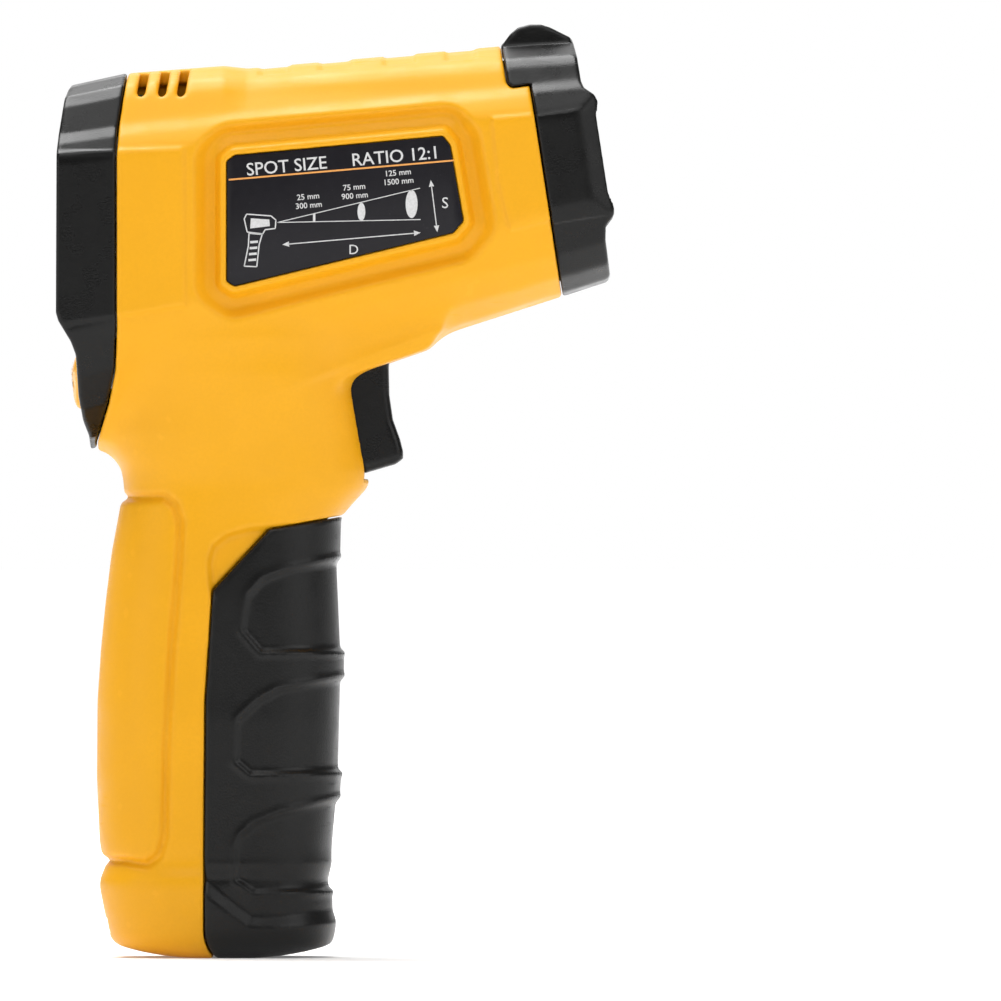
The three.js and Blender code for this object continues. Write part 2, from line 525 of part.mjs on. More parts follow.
// A round-wire spring along the line from a to b, with its ends tucked in.
function coil(a, b, radius, wire, turns, stepsPerTurn = 8, sides = 5) {
  const along = b.clone().sub(a);
  const side = new THREE.Vector3(0, 1, 0);
  const up = along.clone().normalize().cross(side);
  const points = Array.from({ length: turns * stepsPerTurn + 1 }, (_, i) => {
    const t = i / (turns * stepsPerTurn);
    const angle = 2 * Math.PI * turns * t;
    return a.clone().addScaledVector(along, t)
      .addScaledVector(side, radius * Math.cos(angle)).addScaledVector(up, radius * Math.sin(angle));
  });
  return tube(points, wire, turns * stepsPerTurn, sides);
}
function tube(points, r, steps, sides = 8) {
  const section = new THREE.Shape(Array.from({ length: sides }, (_, i) => {
    const angle = (2 * Math.PI * i) / sides;
    return new THREE.Vector2(r * Math.cos(angle), r * Math.sin(angle));
  }));
  const path = new THREE.CatmullRomCurve3(points);
  return solid(new THREE.ExtrudeGeometry(section, { steps, extrudePath: path, bevelEnabled: false }));
}
const v = (x, y, z) => new THREE.Vector3(x, y, z);
piece("trigger_spring", coil(v(13.1, 0, 90.5), v(21, 0, 90.5), 2.1, 0.3, 5), steel);

// ---------------------------------------------------------------- battery door, cells and contacts
function batteryDoor() {
  const leaf = cut(gripBody(0), gripBody(WALL)).intersect(doorSlab(0));
  const ears = [[9, 11.6], [-11.6, -9]].map(([y0, y1]) => union(
    rodY(2.5, y0, y1, DOOR_PIVOT.x, DOOR_PIVOT.z),
    box([DOOR_PIVOT.x - 2.3, DOOR_PIVOT.x + 2.3], [y0, y1], [1.2, DOOR_PIVOT.z]),
  ));
  return cut(union(leaf, ...ears), rodY(1.25, -13, 13, DOOR_PIVOT.x, DOOR_PIVOT.z));
}
piece("battery_door", batteryDoor(), grip);
piece("door_pin", rodY(1.1, -12, 12, DOOR_PIVOT.x, DOOR_PIVOT.z, 16), steel);

function batteryHolder() {
  const back = box([3.1, 4.4], [-10.9, 10.9], [8.6, 64.4]);
  const [floor, roof] = [[8.6, 10], [63, 64.4]].map((span) => box([3.1, 12.8], [-10.9, 10.9], span));
  const lug = union(
    rodY(1.95, -8.5, 8.5, DOOR_PIVOT.x, DOOR_PIVOT.z),
    box([2.7, 5.7], [-8.5, 8.5], [DOOR_PIVOT.z, 9]),
  );
  return cut(union(back, floor, roof, lug), rodY(1.25, -9, 9, DOOR_PIVOT.x, DOOR_PIVOT.z));
}
piece("battery_holder", batteryHolder(), black);
// A cell standing on z, with its button end up or down.
function cell(y, up) {
  const [z0, z1] = [CELL.z, CELL.z + CELL.length];
  const nub = up ? rodZ(1.9, z1 - 1.2, z1, CELL.x, y) : rodZ(1.9, z0, z0 + 1.2, CELL.x, y);
  const can = up ? rodZ(CELL.r, z0, z1 - 1, CELL.x, y, 24) : rodZ(CELL.r, z0 + 1, z1, CELL.x, y, 24);
  return union(can, nub);
}
piece("battery_a", cell(CELL.y, true), cellGrey);
piece("battery_b", cell(-CELL.y, false), cellGrey);
const cellTop = CELL.z + CELL.length;
piece("spring_a", coil(v(CELL.x, CELL.y, 11.2), v(CELL.x, CELL.y, CELL.z - 0.7), 2.9, 0.35, 3), steel);
piece("spring_b", coil(v(CELL.x, -CELL.y, cellTop + 0.7), v(CELL.x, -CELL.y, 62), 2.9, 0.35, 2), steel);
piece("contact_bridge", box([5.4, 12.6], [-9.6, 9.6], [10.3, 10.7]), steel);
piece("contact_positive", box([5.4, 12.6], [1.6, 9.6], [62.4, 62.8]), steel);
piece("contact_negative", box([5.4, 12.6], [-9.6, -1.6], [62.4, 62.8]), steel);

// ---------------------------------------------------------------- wires
const leads = {
  lead_positive: [v(2.2, 6, 64), v(0.5, 7, 70), v(-3, 7, 80), v(-8, 6, 90), v(-12, 6, 99)],
  lead_negative: [v(2.2, -6, 64), v(0.5, -7, 70), v(-3, -7, 80), v(-8, -6, 90), v(-12, -6, 99)],
  lead_laser: [v(40.6, 0, 133.2), v(30, 1, 134.5), v(14, 3, 134.5), v(0, 6, 128), v(-12.2, 8, 126)],
  lead_sensor: [v(19.6, 0, 114.5), v(14, 0, 114), v(4, -5, 112), v(-6, -8, 108), v(-12.2, -8.5, 106)],
  lead_trigger: [v(11.8, 0, 108.8), v(6, 0, 109), v(0, 3, 106), v(-7, 5, 103), v(-12.2, 5, 103)],
};
for (const [name, route] of Object.entries(leads))
  piece(name, tube(route, 0.65, 10, 6), name === "lead_negative" ? black : redWire);

// ---------------------------------------------------------------- case screws
for (const [i, [x, z]] of SCREWS.entries()) {
  const head = rodY(2.5, SCREW_SEAT + 0.3, SCREW_SEAT + 2.2, x, z);
  const drive = [[2.8, 0.6], [0.6, 2.8]].map(([a, b]) =>
    box([x - a / 2, x + a / 2], [SCREW_SEAT + 1.2, SCREW_SEAT + 3], [z - b / 2, z + b / 2]));
  const shaft = rodY(1.25, -11, SCREW_SEAT + 0.5, x, z, 12);
  piece("case_screw_" + (i + 1), cut(union(head, shaft), ...drive), steel);
}

// ---------------------------------------------------------------- origin
body.updateMatrixWorld(true);
const bounds = new THREE.Box3().setFromObject(body, true);
body.position.set(-(bounds.min.x + bounds.max.x) / 2, 0, -bounds.min.z);

export default root;
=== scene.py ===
import json
import math

import bmesh
import bpy
import numpy as np
from mathutils import Matrix, Vector


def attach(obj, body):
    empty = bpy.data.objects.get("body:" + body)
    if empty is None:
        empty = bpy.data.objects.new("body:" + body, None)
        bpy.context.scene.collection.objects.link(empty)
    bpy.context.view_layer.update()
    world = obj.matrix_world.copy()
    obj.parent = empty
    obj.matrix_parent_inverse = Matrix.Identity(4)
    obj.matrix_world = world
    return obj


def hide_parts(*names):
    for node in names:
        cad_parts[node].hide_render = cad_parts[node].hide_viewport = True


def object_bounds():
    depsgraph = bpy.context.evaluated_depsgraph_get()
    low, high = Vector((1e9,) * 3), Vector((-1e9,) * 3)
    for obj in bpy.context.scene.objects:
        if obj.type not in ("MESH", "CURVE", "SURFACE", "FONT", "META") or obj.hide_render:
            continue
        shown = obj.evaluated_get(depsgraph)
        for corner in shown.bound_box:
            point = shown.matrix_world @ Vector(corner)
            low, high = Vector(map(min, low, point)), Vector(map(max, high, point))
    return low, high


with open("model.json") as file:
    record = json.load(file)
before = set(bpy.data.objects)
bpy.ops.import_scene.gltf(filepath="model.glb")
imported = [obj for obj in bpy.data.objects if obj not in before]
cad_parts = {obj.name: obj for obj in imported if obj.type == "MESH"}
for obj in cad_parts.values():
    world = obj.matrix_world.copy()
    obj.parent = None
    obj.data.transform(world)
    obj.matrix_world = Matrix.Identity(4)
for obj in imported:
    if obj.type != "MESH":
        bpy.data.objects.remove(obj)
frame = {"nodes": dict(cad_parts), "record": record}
cad_low, cad_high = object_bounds()

# Everything below is drawn in millimetres, with x counted from the middle of the grip. The rearmost
# edge of the display hood ties that drawing to the frame.
HOOD_REAR = -27.5
SHIFT = cad_low.x * 1000 - HOOD_REAR
COARSER = 1  # how much coarser surfaces are while trying things
WALL = 2.2
SEAM = 0.1  # half the gap between neighbouring mouldings

# The nose has its own frame: u runs along the optical axis and w up from it.
TILT = math.radians(8.8)  # optical axis above the horizontal
AXIS_COS, AXIS_SIN = math.cos(TILT), math.sin(TILT)
NOSE_X, NOSE_Z = 57.0, 131.3  # the frame's origin
NOSE_U = -2.75  # the barrel's front section
FACE_U = -0.6  # the face behind the hood's rim
LENS_W, LASER_W = -9.5, 4.0
REAR_X = -17.3  # the barrel's rear section
WINDOW_X, WINDOW_Z = -22.7, 124  # the bottom of the display window's surround, and its middle
BUTTON_Z = 97.0
SWITCH_Y, SWITCH_Z = 8.9, 98.0
LABEL_SEAT = 19.6  # the recess under the label, from the middle
FILM = 20.5  # outer face of the label
TRIGGER_PIVOT = (26.0, 102.8)
TRIGGER_HOLE = 1.35
DOOR_PIVOT = (4.2, 4.8)
DOOR_HOLE = 1.25
DOOR_SWEEP = 6.9  # radius of the door's end about its hinge
SCREWS = [(-11, 12), (-10, 66), (6, 90), (14, 126)]
SCREW_SEAT = 8  # under the screws' heads, from the middle
CROWN = -24.9  # rearmost point of the domed buttons
PRINT = 0.03  # thickness of printed ink
PRINT_GAP = 0.16  # how far the keys' legends stand out from their domes
SLOPE = math.radians(5.25)  # the label's header rises towards the nose
CELL_R, CELL_X, CELL_Y, CELL_Z, CELL_LENGTH = 5.15, 9.9, 5.7, 15.0, 44.5  # AAA cells
TRAY_X, TRAY_Z = (3.1, 12.8), (8.6, 64.4)  # the cells' holder
LCD_X = -20.9  # rear face of the liquid crystal cell's front glass
VENTS = (-12.6, -9.1, -5.9)  # x of the slots at the roof
SOLE_X, SOLE_FLAT, SOLE_REACH, SOLE_RISE = 0.5, 3.5, 14.2, 2  # the underside: its middle, flat part and curve
WORLD_LIGHT = 0.2  # how strongly the surroundings light the part; the camera sees them at 1


# ---------------------------------------------------------------- outlines
REAR_HALF = [
    (0, 148.4), (7, 147.9), (12, 146.3), (14.2, 144.4), (17.3, 139.6), (19.6, 137.7), (21.3, 135.4),
    (21.6, 134), (21.6, 106.6), (20.9, 104.6), (17.9, 99), (13.4, 93.4), (7, 88.5), (0, 86.7),
]
NOSE_HALF = [
    (0, 23.1), (5.5, 22.4), (12, 20.2), (14, 18.6), (16.2, 15.8), (18.4, 14.1), (20.4, 11.4),
    (20.8, 10.2), (20.8, -6), (20.3, -7.6), (17, -13), (12.6, -17), (6.5, -19.6), (0, -20.2),
]
GRIP_TOP = 118  # it ends inside the barrel
GRIP_REAR = [  # height and x
    (0, -14.2), (1, -16.4), (2.2, -17.8), (3.8, -18.8), (7, -19.4), (11.8, -20.4), (13.4, -20.3),
    (15.4, -19.3), (19, -20.1), (30, -20.6), (43, -20.5), (52, -19.9), (60, -19.1), (68, -18.1), (75, -16.8),
    (78.5, -16.2), (82, -16.7), (84.5, -17.8), (88, -18.3), (96, -15.5), (104, -14), (118, -12),
]
GRIP_FRONT = [
    (0, 14.5), (1, 17.5), (2.2, 18.8), (5.5, 19.4), (9, 19.4), (12.9, 19.3), (18, 19.2), (30, 20.2),
    (50, 20.7), (66, 20), (74, 20.2), (77, 22.9), (79, 24.8), (81.5, 25.1), (98, 21.8), (104, 21), (118, 19),
]
GRIP_HALF_WIDTH = [
    (0, 12.4), (1, 14.4), (2.2, 15.6), (4, 16.5), (7, 17.1), (12, 17.5), (13.4, 17.4), (15.6, 16.4),
    (19, 16.5), (40, 16.8), (60, 16.3), (74, 15.6), (80, 15.6), (86, 16.3), (92, 17.4), (98, 18.4),
    (104, 17.8), (112, 12), (118, 7),
]
GRIP_SQUARE = 2.7  # superellipse power of the grip's section
HOOD_SIDE = [
    (-15.6, 155), (-15.6, 148.5), (-16.3, 144), (-17, 139), (-17.3, 134), (-17.3, 105.3), (-17.6, 98.6),
    (-18.7, 93.2), (-20.7, 86.7), (-21, 80), (-21.6, 80), (-22.2, 87.6), (-23.1, 90), (-23.8, 94),
    (-24.2, 101), (-25, 103.2), (-27.1, 106.7), (-27.5, 108), (-27.4, 135), (-27.1, 138), (-26.2, 144),
    (-25.4, 146.2), (-25.4, 155),
]
NOSE_SIDE = [
    (-2.75, -24), (4.8, -24), (5, -19.4), (5.8, -17.9), (5.9, -12), (6.3, -9.8), (7.9, -8.2), (8.2, -7),
    (8.2, 11.1), (7.7, 12.4), (6.2, 13.8), (5.9, 15), (5.9, 19.1), (5.4, 24), (5.4, 30), (-6.5, 30),
    (-6.5, 16.4), (-5.8, 15.6), (-2.75, 15.6),
]
SIGHT_SIDE = [
    (-6.5, 18), (-6.5, 22.9), (-4.7, 24.7), (-3.2, 25.6), (-1.2, 25.8), (0.7, 25.5), (2.1, 24.8), (5.2, 22.6),
    (5.4, 18),
]
TRIGGER_BLOCK = [(8, 95), (21.8, 97.6), (28.1, 99.7), (35.1, 102.1), (36.8, 104.8), (36.8, 112), (8, 112)]
TRIGGER_SIDE = [
    (20.2, 101.4), (19.3, 97), (19.6, 83.5), (24.3, 81.3), (29.4, 82.8), (30.6, 83.7), (30.6, 85),
    (30.1, 87), (28.9, 90.3), (28.3, 94.4), (28.2, 99), (28.6, 102.8), (27.6, 105), (26, 105.4),
    (24, 104.2), (20.2, 103.4),
]
LABEL = [
    (1.2, 133.4), (2.5, 134.4), (37.3, 137.6), (38.5, 136.1), (40.7, 123.5), (39, 121.5), (2.5, 112.6),
    (1.2, 113.4),
]
WINDOW_HALF = [
    (0, 143.9), (7, 143.2), (11.5, 141.2), (15.4, 136.8), (17.6, 133), (17.6, 105.6), (16, 104.2), (0, 104.2),
]
SIDE_BUTTON = [
    (5.9, 101.2), (6.5, 101.5), (10.6, 101.5), (13.3, 100.7), (14.7, 99.2), (14.6, 97.8), (13.6, 96.3),
    (9.4, 92.5), (8, 92), (6.6, 92.3), (6, 93.1), (6.3, 95), (6.4, 97.4), (6.1, 99.4),
]


def arc(cx, cy, r, start, end, steps):
    """Points along an arc, in degrees."""
    angles = [math.radians(start + (end - start) * i / steps) for i in range(steps + 1)]
    return [(cx + r * math.cos(a), cy + r * math.sin(a)) for a in angles]


def oblong(a0, b0, a1, b1):
    return [(a0, b0), (a1, b0), (a1, b1), (a0, b1)]


DOOR_SIDE = [
    (40, 77.7), (20.2, 74.1), (8.2, 71.9), (-1.3, 61.6), (-2.5, 43), (DOOR_PIVOT[0] - DOOR_SWEEP, 18),
    *arc(*DOOR_PIVOT, DOOR_SWEEP, 180, 224, 8), (-0.6, -8), (40, -8),
]
KEYS = {
    "up": SIDE_BUTTON, "mode": arc(0, BUTTON_Z, 4.65, 0, 354, 59), "down": [(-y, z) for y, z in SIDE_BUTTON],
}
PAD_GROOVE = [
    (-40, 76.9), (-13, 77.2), (-9.4, 77.3), (-7.6, 76), (-6.7, 73.1), (-6.9, 66.7), (-8.2, 51.6),
    (-9.1, 34.8), (-9.3, 20.5), (-10.2, 17.3), (-12.3, 15.7), (-16, 16.3), (-40, 16.9),
]
SCOOP = [
    (12, 72.5), (5, 71.9), (1.2, 70.9), (-1.1, 69), (-1.9, 66.5), (-1.7, 63), (-1.2, 60.5), (3, 60), (14, 70),
]
REAR_BAND = [(-30, 135), (-5.9, 135.8), (-5.7, 109.2), (-30, 105.4)]
FRONT_BAND = [(45.5, 140.8), (70, 143), (70, 127), (55, 123.4), (48.5, 121.8), (46.5, 130)]
NOSE_FLANK = oblong(-9, 10.4, 12, -8)
ROOF_PADS = [(6.6, 11.6), (16.6, 21.7), (27.4, 32.6), (37.8, 42.7)]
PANEL_Z = 104.6  # upper edge of the keys' panel
PANEL_TOP = [(0, PANEL_Z), (9.6, PANEL_Z), (17.2, 99), (19.5, 99), (19.5, 110), (0, 110)]
FOOT = [(-8, 16.1), (-1.6, 11.2), (5, 6.1), (10.6, 6.1), (40, 9), (40, -9), (-8, -9)]
POCKETS = [
    [(40, 68.5), (20, 66.6), (10.8, 64.7), (7.4, 63.4), (4.9, 60.8), (4, 55), (6.9, 51.6), (40, 51.9)],
    [(40, 48.5), (20, 46.6), (10, 44.9), (6.5, 43), (3.2, 39.8), (2.9, 33.1), (5.2, 31.1), (40, 31.9)],
    [
        (40, 29), (19.5, 26.3), (10, 24.1), (6, 22.5), (3.7, 20.5), (2.9, 18.8), (2.9, 13.3), (5.7, 11.3),
        (40, 12.3),
    ],
]


# ---------------------------------------------------------------- distance fields
def outline_field(points, a, b, closed=True):
    """Signed distance to an outline in the plane of a and b, negative inside. Its points may be arrays."""
    ends = points[1:] + points[:1] if closed else points[1:]
    best, odd = np.float32(1e9), False
    for (a0, b0), (a1, b1) in zip(points, ends):
        da, db = a1 - a0, b1 - b0
        t = np.clip(((a - a0) * da + (b - b0) * db) / (da * da + db * db), 0, 1)
        best = np.minimum(best, (a - a0 - t * da) ** 2 + (b - b0 - t * db) ** 2)
        slope = da / np.where(db == 0, 1e-9, db)
        odd = odd ^ (((b0 > b) != (b1 > b)) & (a < (b - b0) * slope + a0))
    return (np.where(odd, -1, 1) * np.sqrt(best)).astype(np.float32)


def line_field(points, a, b):
    """Distance to an open line in the plane of a and b."""
    return np.abs(outline_field(points, a, b, closed=False))


def round_field(a, b, middle, r):
    """Signed distance to a circle."""
    return np.sqrt((a - middle[0]) ** 2 + (b - middle[1]) ** 2) - r


def span_field(a, low, high):
    """Signed distance to a slab between two values."""
    return np.abs(a - (low + high) / 2) - (high - low) / 2


def both(*fields):
    """Where all the fields are inside."""
    found = fields[0]
    for f in fields[1:]:
        found = np.maximum(found, f)
    return found


def smooth_min(p, q, r):
    h = np.clip(0.5 + 0.5 * (q - p) / r, 0, 1)
    return q + (p - q) * h - r * h * (1 - h)


def smooth_max(p, q, r):
    return -smooth_min(-p, -q, r)


def step(d, soft):
    """1 well inside (d < 0), 0 outside, with an S-shaped flank as wide as soft."""
    t = np.clip(0.5 - d / soft, 0, 1)
    return t * t * (3 - 2 * t)


def ridge(d, width):
    """A rounded ridge along d = 0."""
    return np.exp(-(d / width) ** 2)


def blurred(f, sigma, z):
    """The field smoothed over sigma millimetres, which rounds its edges and folds."""
    s = sigma / float(z.flat[1] - z.flat[0])
    reach = max(1, math.ceil(2.5 * s))
    weights = np.exp(-0.5 * (np.arange(-reach, reach + 1) / s) ** 2)
    weights = (weights / weights.sum()).astype(np.float32)
    for axis in range(3):
        padded = np.pad(f, [(reach, reach) if k == axis else (0, 0) for k in range(3)], mode="edge")
        n = f.shape[axis]
        f = sum(w * np.take(padded, range(i, i + n), axis) for i, w in enumerate(weights))
    return f


def nose_axes(x, z):
    """Distance along the optical axis and above it."""
    dx, dz = x - NOSE_X, z - NOSE_Z
    return dx * AXIS_COS + dz * AXIS_SIN, dz * AXIS_COS - dx * AXIS_SIN


def from_nose(u, w):
    """x and z of a place in the nose's frame."""
    return NOSE_X + u * AXIS_COS - w * AXIS_SIN, NOSE_Z + u * AXIS_SIN + w * AXIS_COS


def barrel_field(x, y, z):
    """The barrel, ruled between its rear section and its tilted nose section, and run on past both."""
    points = []
    for (ya, za), (yb, w) in zip(REAR_HALF, NOSE_HALF):
        xb, zb = from_nose(NOSE_U, w)
        t = (x - REAR_X) / (xb - REAR_X)
        points.append((ya + (yb - ya) * t, za + (zb - za) * t))
    return outline_field(points, np.abs(y), z, closed=False)


def grip_field(x, y, z):
    """The grip, a column of superellipses that dies out inside the barrel."""
    rear, front, half = (
        np.interp(z, *zip(*table)).astype(np.float32) for table in (GRIP_REAR, GRIP_FRONT, GRIP_HALF_WIDTH)
    )
    dx = x - (front + rear) / 2
    across = (np.abs(dx) / ((front - rear) / 2)) ** GRIP_SQUARE + (np.abs(y) / half) ** GRIP_SQUARE
    reach = np.maximum(across, 1e-6) ** (1 / GRIP_SQUARE)
    side = np.sqrt(dx * dx + y * y) * (1 - 1 / reach)
    underside = SOLE_RISE * (np.maximum(np.abs(x - SOLE_X) - SOLE_FLAT, 0) / SOLE_REACH) ** 2
    return both(side, underside - z, z - GRIP_TOP)


def body_field(x, y, z):
    """The whole outer form, before it is split into mouldings."""
    grip_fillet, block_fillet, softness, block_half_width = 6.0, 2.5, 0.7, 12
    form = smooth_min(barrel_field(x, y, z), grip_field(x, y, z), grip_fillet)
    block = both(outline_field(TRIGGER_BLOCK, x, z), np.abs(y) - block_half_width)
    return blurred(smooth_min(form, block, block_fillet), softness, z)


# ---------------------------------------------------------------- surfaces
def sample(f, axes, cell, p):
    """The field's value at points p, read linearly between the grid points."""
    at = [(p[:, k] - axes[k][0]) / cell for k in range(3)]
    i = [np.clip(at[k].astype(int), 0, f.shape[k] - 2) for k in range(3)]
    t = [at[k] - i[k] for k in range(3)]
    value = 0
    for dx in (0, 1):
        for dy in (0, 1):
            for dz in (0, 1):
                weight = np.ones(len(p))
                for k, d in enumerate((dx, dy, dz)):
                    weight = weight * (t[k] if d else 1 - t[k])
                value = value + weight * f[i[0] + dx, i[1] + dy, i[2] + dz]
    return value


def net(f, axes, cell):
    """Points and four-sided faces of the field's zero surface, one point to each cell that it crosses."""
    inside = f < 0
    cells = tuple(n - 1 for n in f.shape)
    total = [np.zeros(np.prod(cells), np.float32) for _ in range(4)]
    rings = []
    for axis in range(3):
        a = [slice(None)] * 3
        b = [slice(None)] * 3
        a[axis], b[axis] = slice(0, -1), slice(1, None)
        crossed = np.nonzero(inside[tuple(a)] != inside[tuple(b)])
        other = [(axis + 1) % 3, (axis + 2) % 3]
        keep = np.ones(len(crossed[0]), bool)
        for k in other:
            keep &= (crossed[k] > 0) & (crossed[k] < f.shape[k] - 1)
        at = [c[keep] for c in crossed]
        end = [c + (k == axis) for k, c in enumerate(at)]
        fa, fb = f[tuple(at)], f[tuple(end)]
        place = [c.astype(np.float32) for c in at]
        place[axis] = place[axis] + fa / (fa - fb)
        ring = []
        for d1, d2 in ((1, 1), (0, 1), (0, 0), (1, 0)):
            corner = list(at)
            corner[other[0]] = at[other[0]] - d1
            corner[other[1]] = at[other[1]] - d2
            flat = np.ravel_multi_index(corner, cells)
            ring.append(flat)
            for k in range(3):
                total[k] += np.bincount(flat, place[k], len(total[k]))
            total[3] += np.bincount(flat, minlength=len(total[3]))
        ring = np.stack(ring, 1)
        ring[fa > 0] = ring[fa > 0][:, ::-1]
        rings.append(ring)
    used = np.nonzero(total[3])[0]
    number = np.full(len(total[3]), -1)
    number[used] = np.arange(len(used))
    points = np.stack([axes[k][0] + cell * total[k][used] / total[3][used] for k in range(3)], 1)
    return points, number[np.concatenate(rings)]


def settled(f, axes, cell, points):
    """The points moved on to the zero surface, down the field's slope."""
    h = 0.5 * cell
    for _ in range(3):
        slope = np.stack([
            (sample(f, axes, cell, points + h * e) - sample(f, axes, cell, points - h * e)) / (2 * h)
            for e in np.eye(3)
        ], 1)
        value = sample(f, axes, cell, points)
        move = -value / np.maximum((slope ** 2).sum(1), 0.05)
        points = points + np.clip(move, -h, h)[:, None] * slope
    return points


def in_scene(name, data):
    """A new object in the scene that shows the data."""
    made = bpy.data.objects.new(name, data)
    bpy.context.scene.collection.objects.link(made)
    return made


def linked(name, mesh, look, sharp=None):
    """A new object for the mesh, smooth all over, or smooth but for edges sharper than some degrees."""
    mesh.polygons.foreach_set("use_smooth", [True] * len(mesh.polygons))
    if sharp:
        mesh.set_sharp_from_angle(angle=math.radians(sharp))
    mesh.materials.append(look)
    return in_scene(name, mesh)


def mesh_of(name, points, faces, look, sharp=32):
    """A piece from points in drawing millimetres and faces, which are turned outwards."""
    mesh = bpy.data.meshes.new(name)
    placed = (np.asarray(points, float) + [SHIFT, 0, 0]) / 1000
    mesh.from_pydata(placed.tolist(), [], [list(f) for f in faces])
    work = bmesh.new()
    work.from_mesh(mesh)
    bmesh.ops.recalc_face_normals(work, faces=work.faces)
    work.to_mesh(mesh)
    work.free()
    return linked(name, mesh, look, sharp)


def moulding(name, field, low, high, look, cell=0.45):
    """A smooth closed piece from a field over the box from low to high."""
    cell = cell * COARSER
    axes = [np.arange(a, b + cell, cell, dtype=np.float32) for a, b in zip(low, high)]
    x, y, z = axes[0][:, None, None], axes[1][None, :, None], axes[2][None, None, :]
    f = np.ascontiguousarray(np.broadcast_to(field(x, y, z), [len(a) for a in axes]), np.float32)
    points, quads = net(f, axes, cell)
    points = settled(f, axes, cell, points)
    mesh = bpy.data.meshes.new(name)
    mesh.vertices.add(len(points))
    mesh.vertices.foreach_set("co", ((points + [SHIFT, 0, 0]) / 1000).astype(np.float32).ravel())
    mesh.loops.add(quads.size)
    mesh.loops.foreach_set("vertex_index", quads.astype(np.int32).ravel())
    mesh.polygons.add(len(quads))
    mesh.polygons.foreach_set("loop_start", np.arange(0, quads.size, 4, dtype=np.int32))
    mesh.update(calc_edges=True)
    mesh.validate()
    return linked(name, mesh, look)


def arc_between(before, corner, after, r, steps=5):
    """The corner rounded to radius r, as points."""
    p, a, b = Vector(corner), Vector(before), Vector(after)
    da, db = (a - p).normalized(), (b - p).normalized()
    half = max(0.05, da.angle(db) / 2)
    back = min(r / math.tan(half), (a - p).length * 0.48, (b - p).length * 0.48)
    start, end = p + da * back, p + db * back
    return [tuple(start.lerp(p, t).lerp(p.lerp(end, t), t)) for t in (i / steps for i in range(steps + 1))]


def rounded(points, r, closed=True):
    """The outline with its corners rounded; an open one keeps its ends."""
    n = len(points)
    made = []
    for i, p in enumerate(points):
        if closed or 0 < i < n - 1:
            made += arc_between(points[i - 1], p, points[(i + 1) % n], r)
        else:
            made.append(p)
    return made


def lathe(profile, place, sides=72):
    """Points and faces of a turned piece, from [distance along, radius] pairs. A profile that doesn't start
    and end on the axis is closed on itself. place(along, across, up) gives the point in the drawing."""
    solid_core = profile[0][1] == 0
    rows = profile[1:-1] if solid_core else profile
    turn = [(math.cos(2 * math.pi * k / sides), math.sin(2 * math.pi * k / sides)) for k in range(sides)]
    points = [place(u, r * c, r * s) for u, r in rows for c, s in turn]
    faces = []
    for i in range(len(rows) if not solid_core else len(rows) - 1):
        j = (i + 1) % len(rows)
        for k in range(sides):
            m = (k + 1) % sides
            faces.append((i * sides + k, i * sides + m, j * sides + m, j * sides + k))
    if solid_core:
        for row, (u, _) in ((0, profile[0]), (len(rows) - 1, profile[-1])):
            points.append(place(u, 0, 0))
            faces += [(len(points) - 1, row * sides + k, row * sides + (k + 1) % sides) for k in range(sides)]
    return points, faces


def curve_of(name, points, r, look):
    """A round wire along the points."""
    data = bpy.data.curves.new(name, "CURVE")
    data.dimensions = "3D"
    data.bevel_depth, data.bevel_resolution, data.use_fill_caps = r / 1000, 4, True
    line = data.splines.new("POLY")
    line.points.add(len(points) - 1)
    for target, (x, y, z) in zip(line.points, points):
        target.co = ((x + SHIFT) / 1000, y / 1000, z / 1000, 1)
    line.use_smooth = True
    data.materials.append(look)
    return in_scene(name, data)


def smooth_route(points, steps=8):
    """A Catmull-Rom line through the points."""
    p = [np.array(q, float) for q in (points[0], *points, points[-1])]
    route = []
    for a, b, c, d in zip(p, p[1:], p[2:], p[3:]):
        for t in (i / steps for i in range(steps)):
            route.append(0.5 * (2 * b + (c - a) * t + (2 * a - 5 * b + 4 * c - d) * t * t
                                + (3 * b - a - 3 * c + d) * t ** 3))
    return [tuple(q) for q in route] + [tuple(p[-1])]


# ---------------------------------------------------------------- print
def from_curve(data, a, b, turn):
    """Points (a, b, height) and faces of a flat curve's thin solid, turned and moved."""
    data.dimensions, data.fill_mode, data.extrude = "2D", "BOTH", PRINT / 2
    holder = in_scene("flat", data)
    bpy.context.view_layer.update()
    mesh = bpy.data.meshes.new_from_object(holder.evaluated_get(bpy.context.evaluated_depsgraph_get()))
    c, s = math.cos(turn), math.sin(turn)
    points = [(a + v.co.x * c - v.co.y * s, b + v.co.x * s + v.co.y * c, v.co.z) for v in mesh.vertices]
    faces = [tuple(p.vertices) for p in mesh.polygons]
    bpy.data.objects.remove(holder)
    bpy.data.meshes.remove(mesh)
    bpy.data.curves.remove(data)
    return points, faces


def words(text, size, a, b, turn=0.0, bold=0.0):
    data = bpy.data.curves.new("words", "FONT")
    data.body, data.size, data.offset, data.resolution_u = text, size, bold, 3
    data.align_x, data.align_y = "CENTER", "CENTER"
    return from_curve(data, a, b, turn)


def flat(*outlines):
    """One thin solid with the outlines as its edges, so that an outline inside another is a hole."""
    data = bpy.data.curves.new("flat", "CURVE")
    for outline in outlines:
        spline = data.splines.new("POLY")
        spline.points.add(len(outline) - 1)
        for target, (a, b) in zip(spline.points, outline):
            target.co = (a, b, 0, 1)
        spline.use_cyclic_u = True
    return from_curve(data, 0, 0, 0)


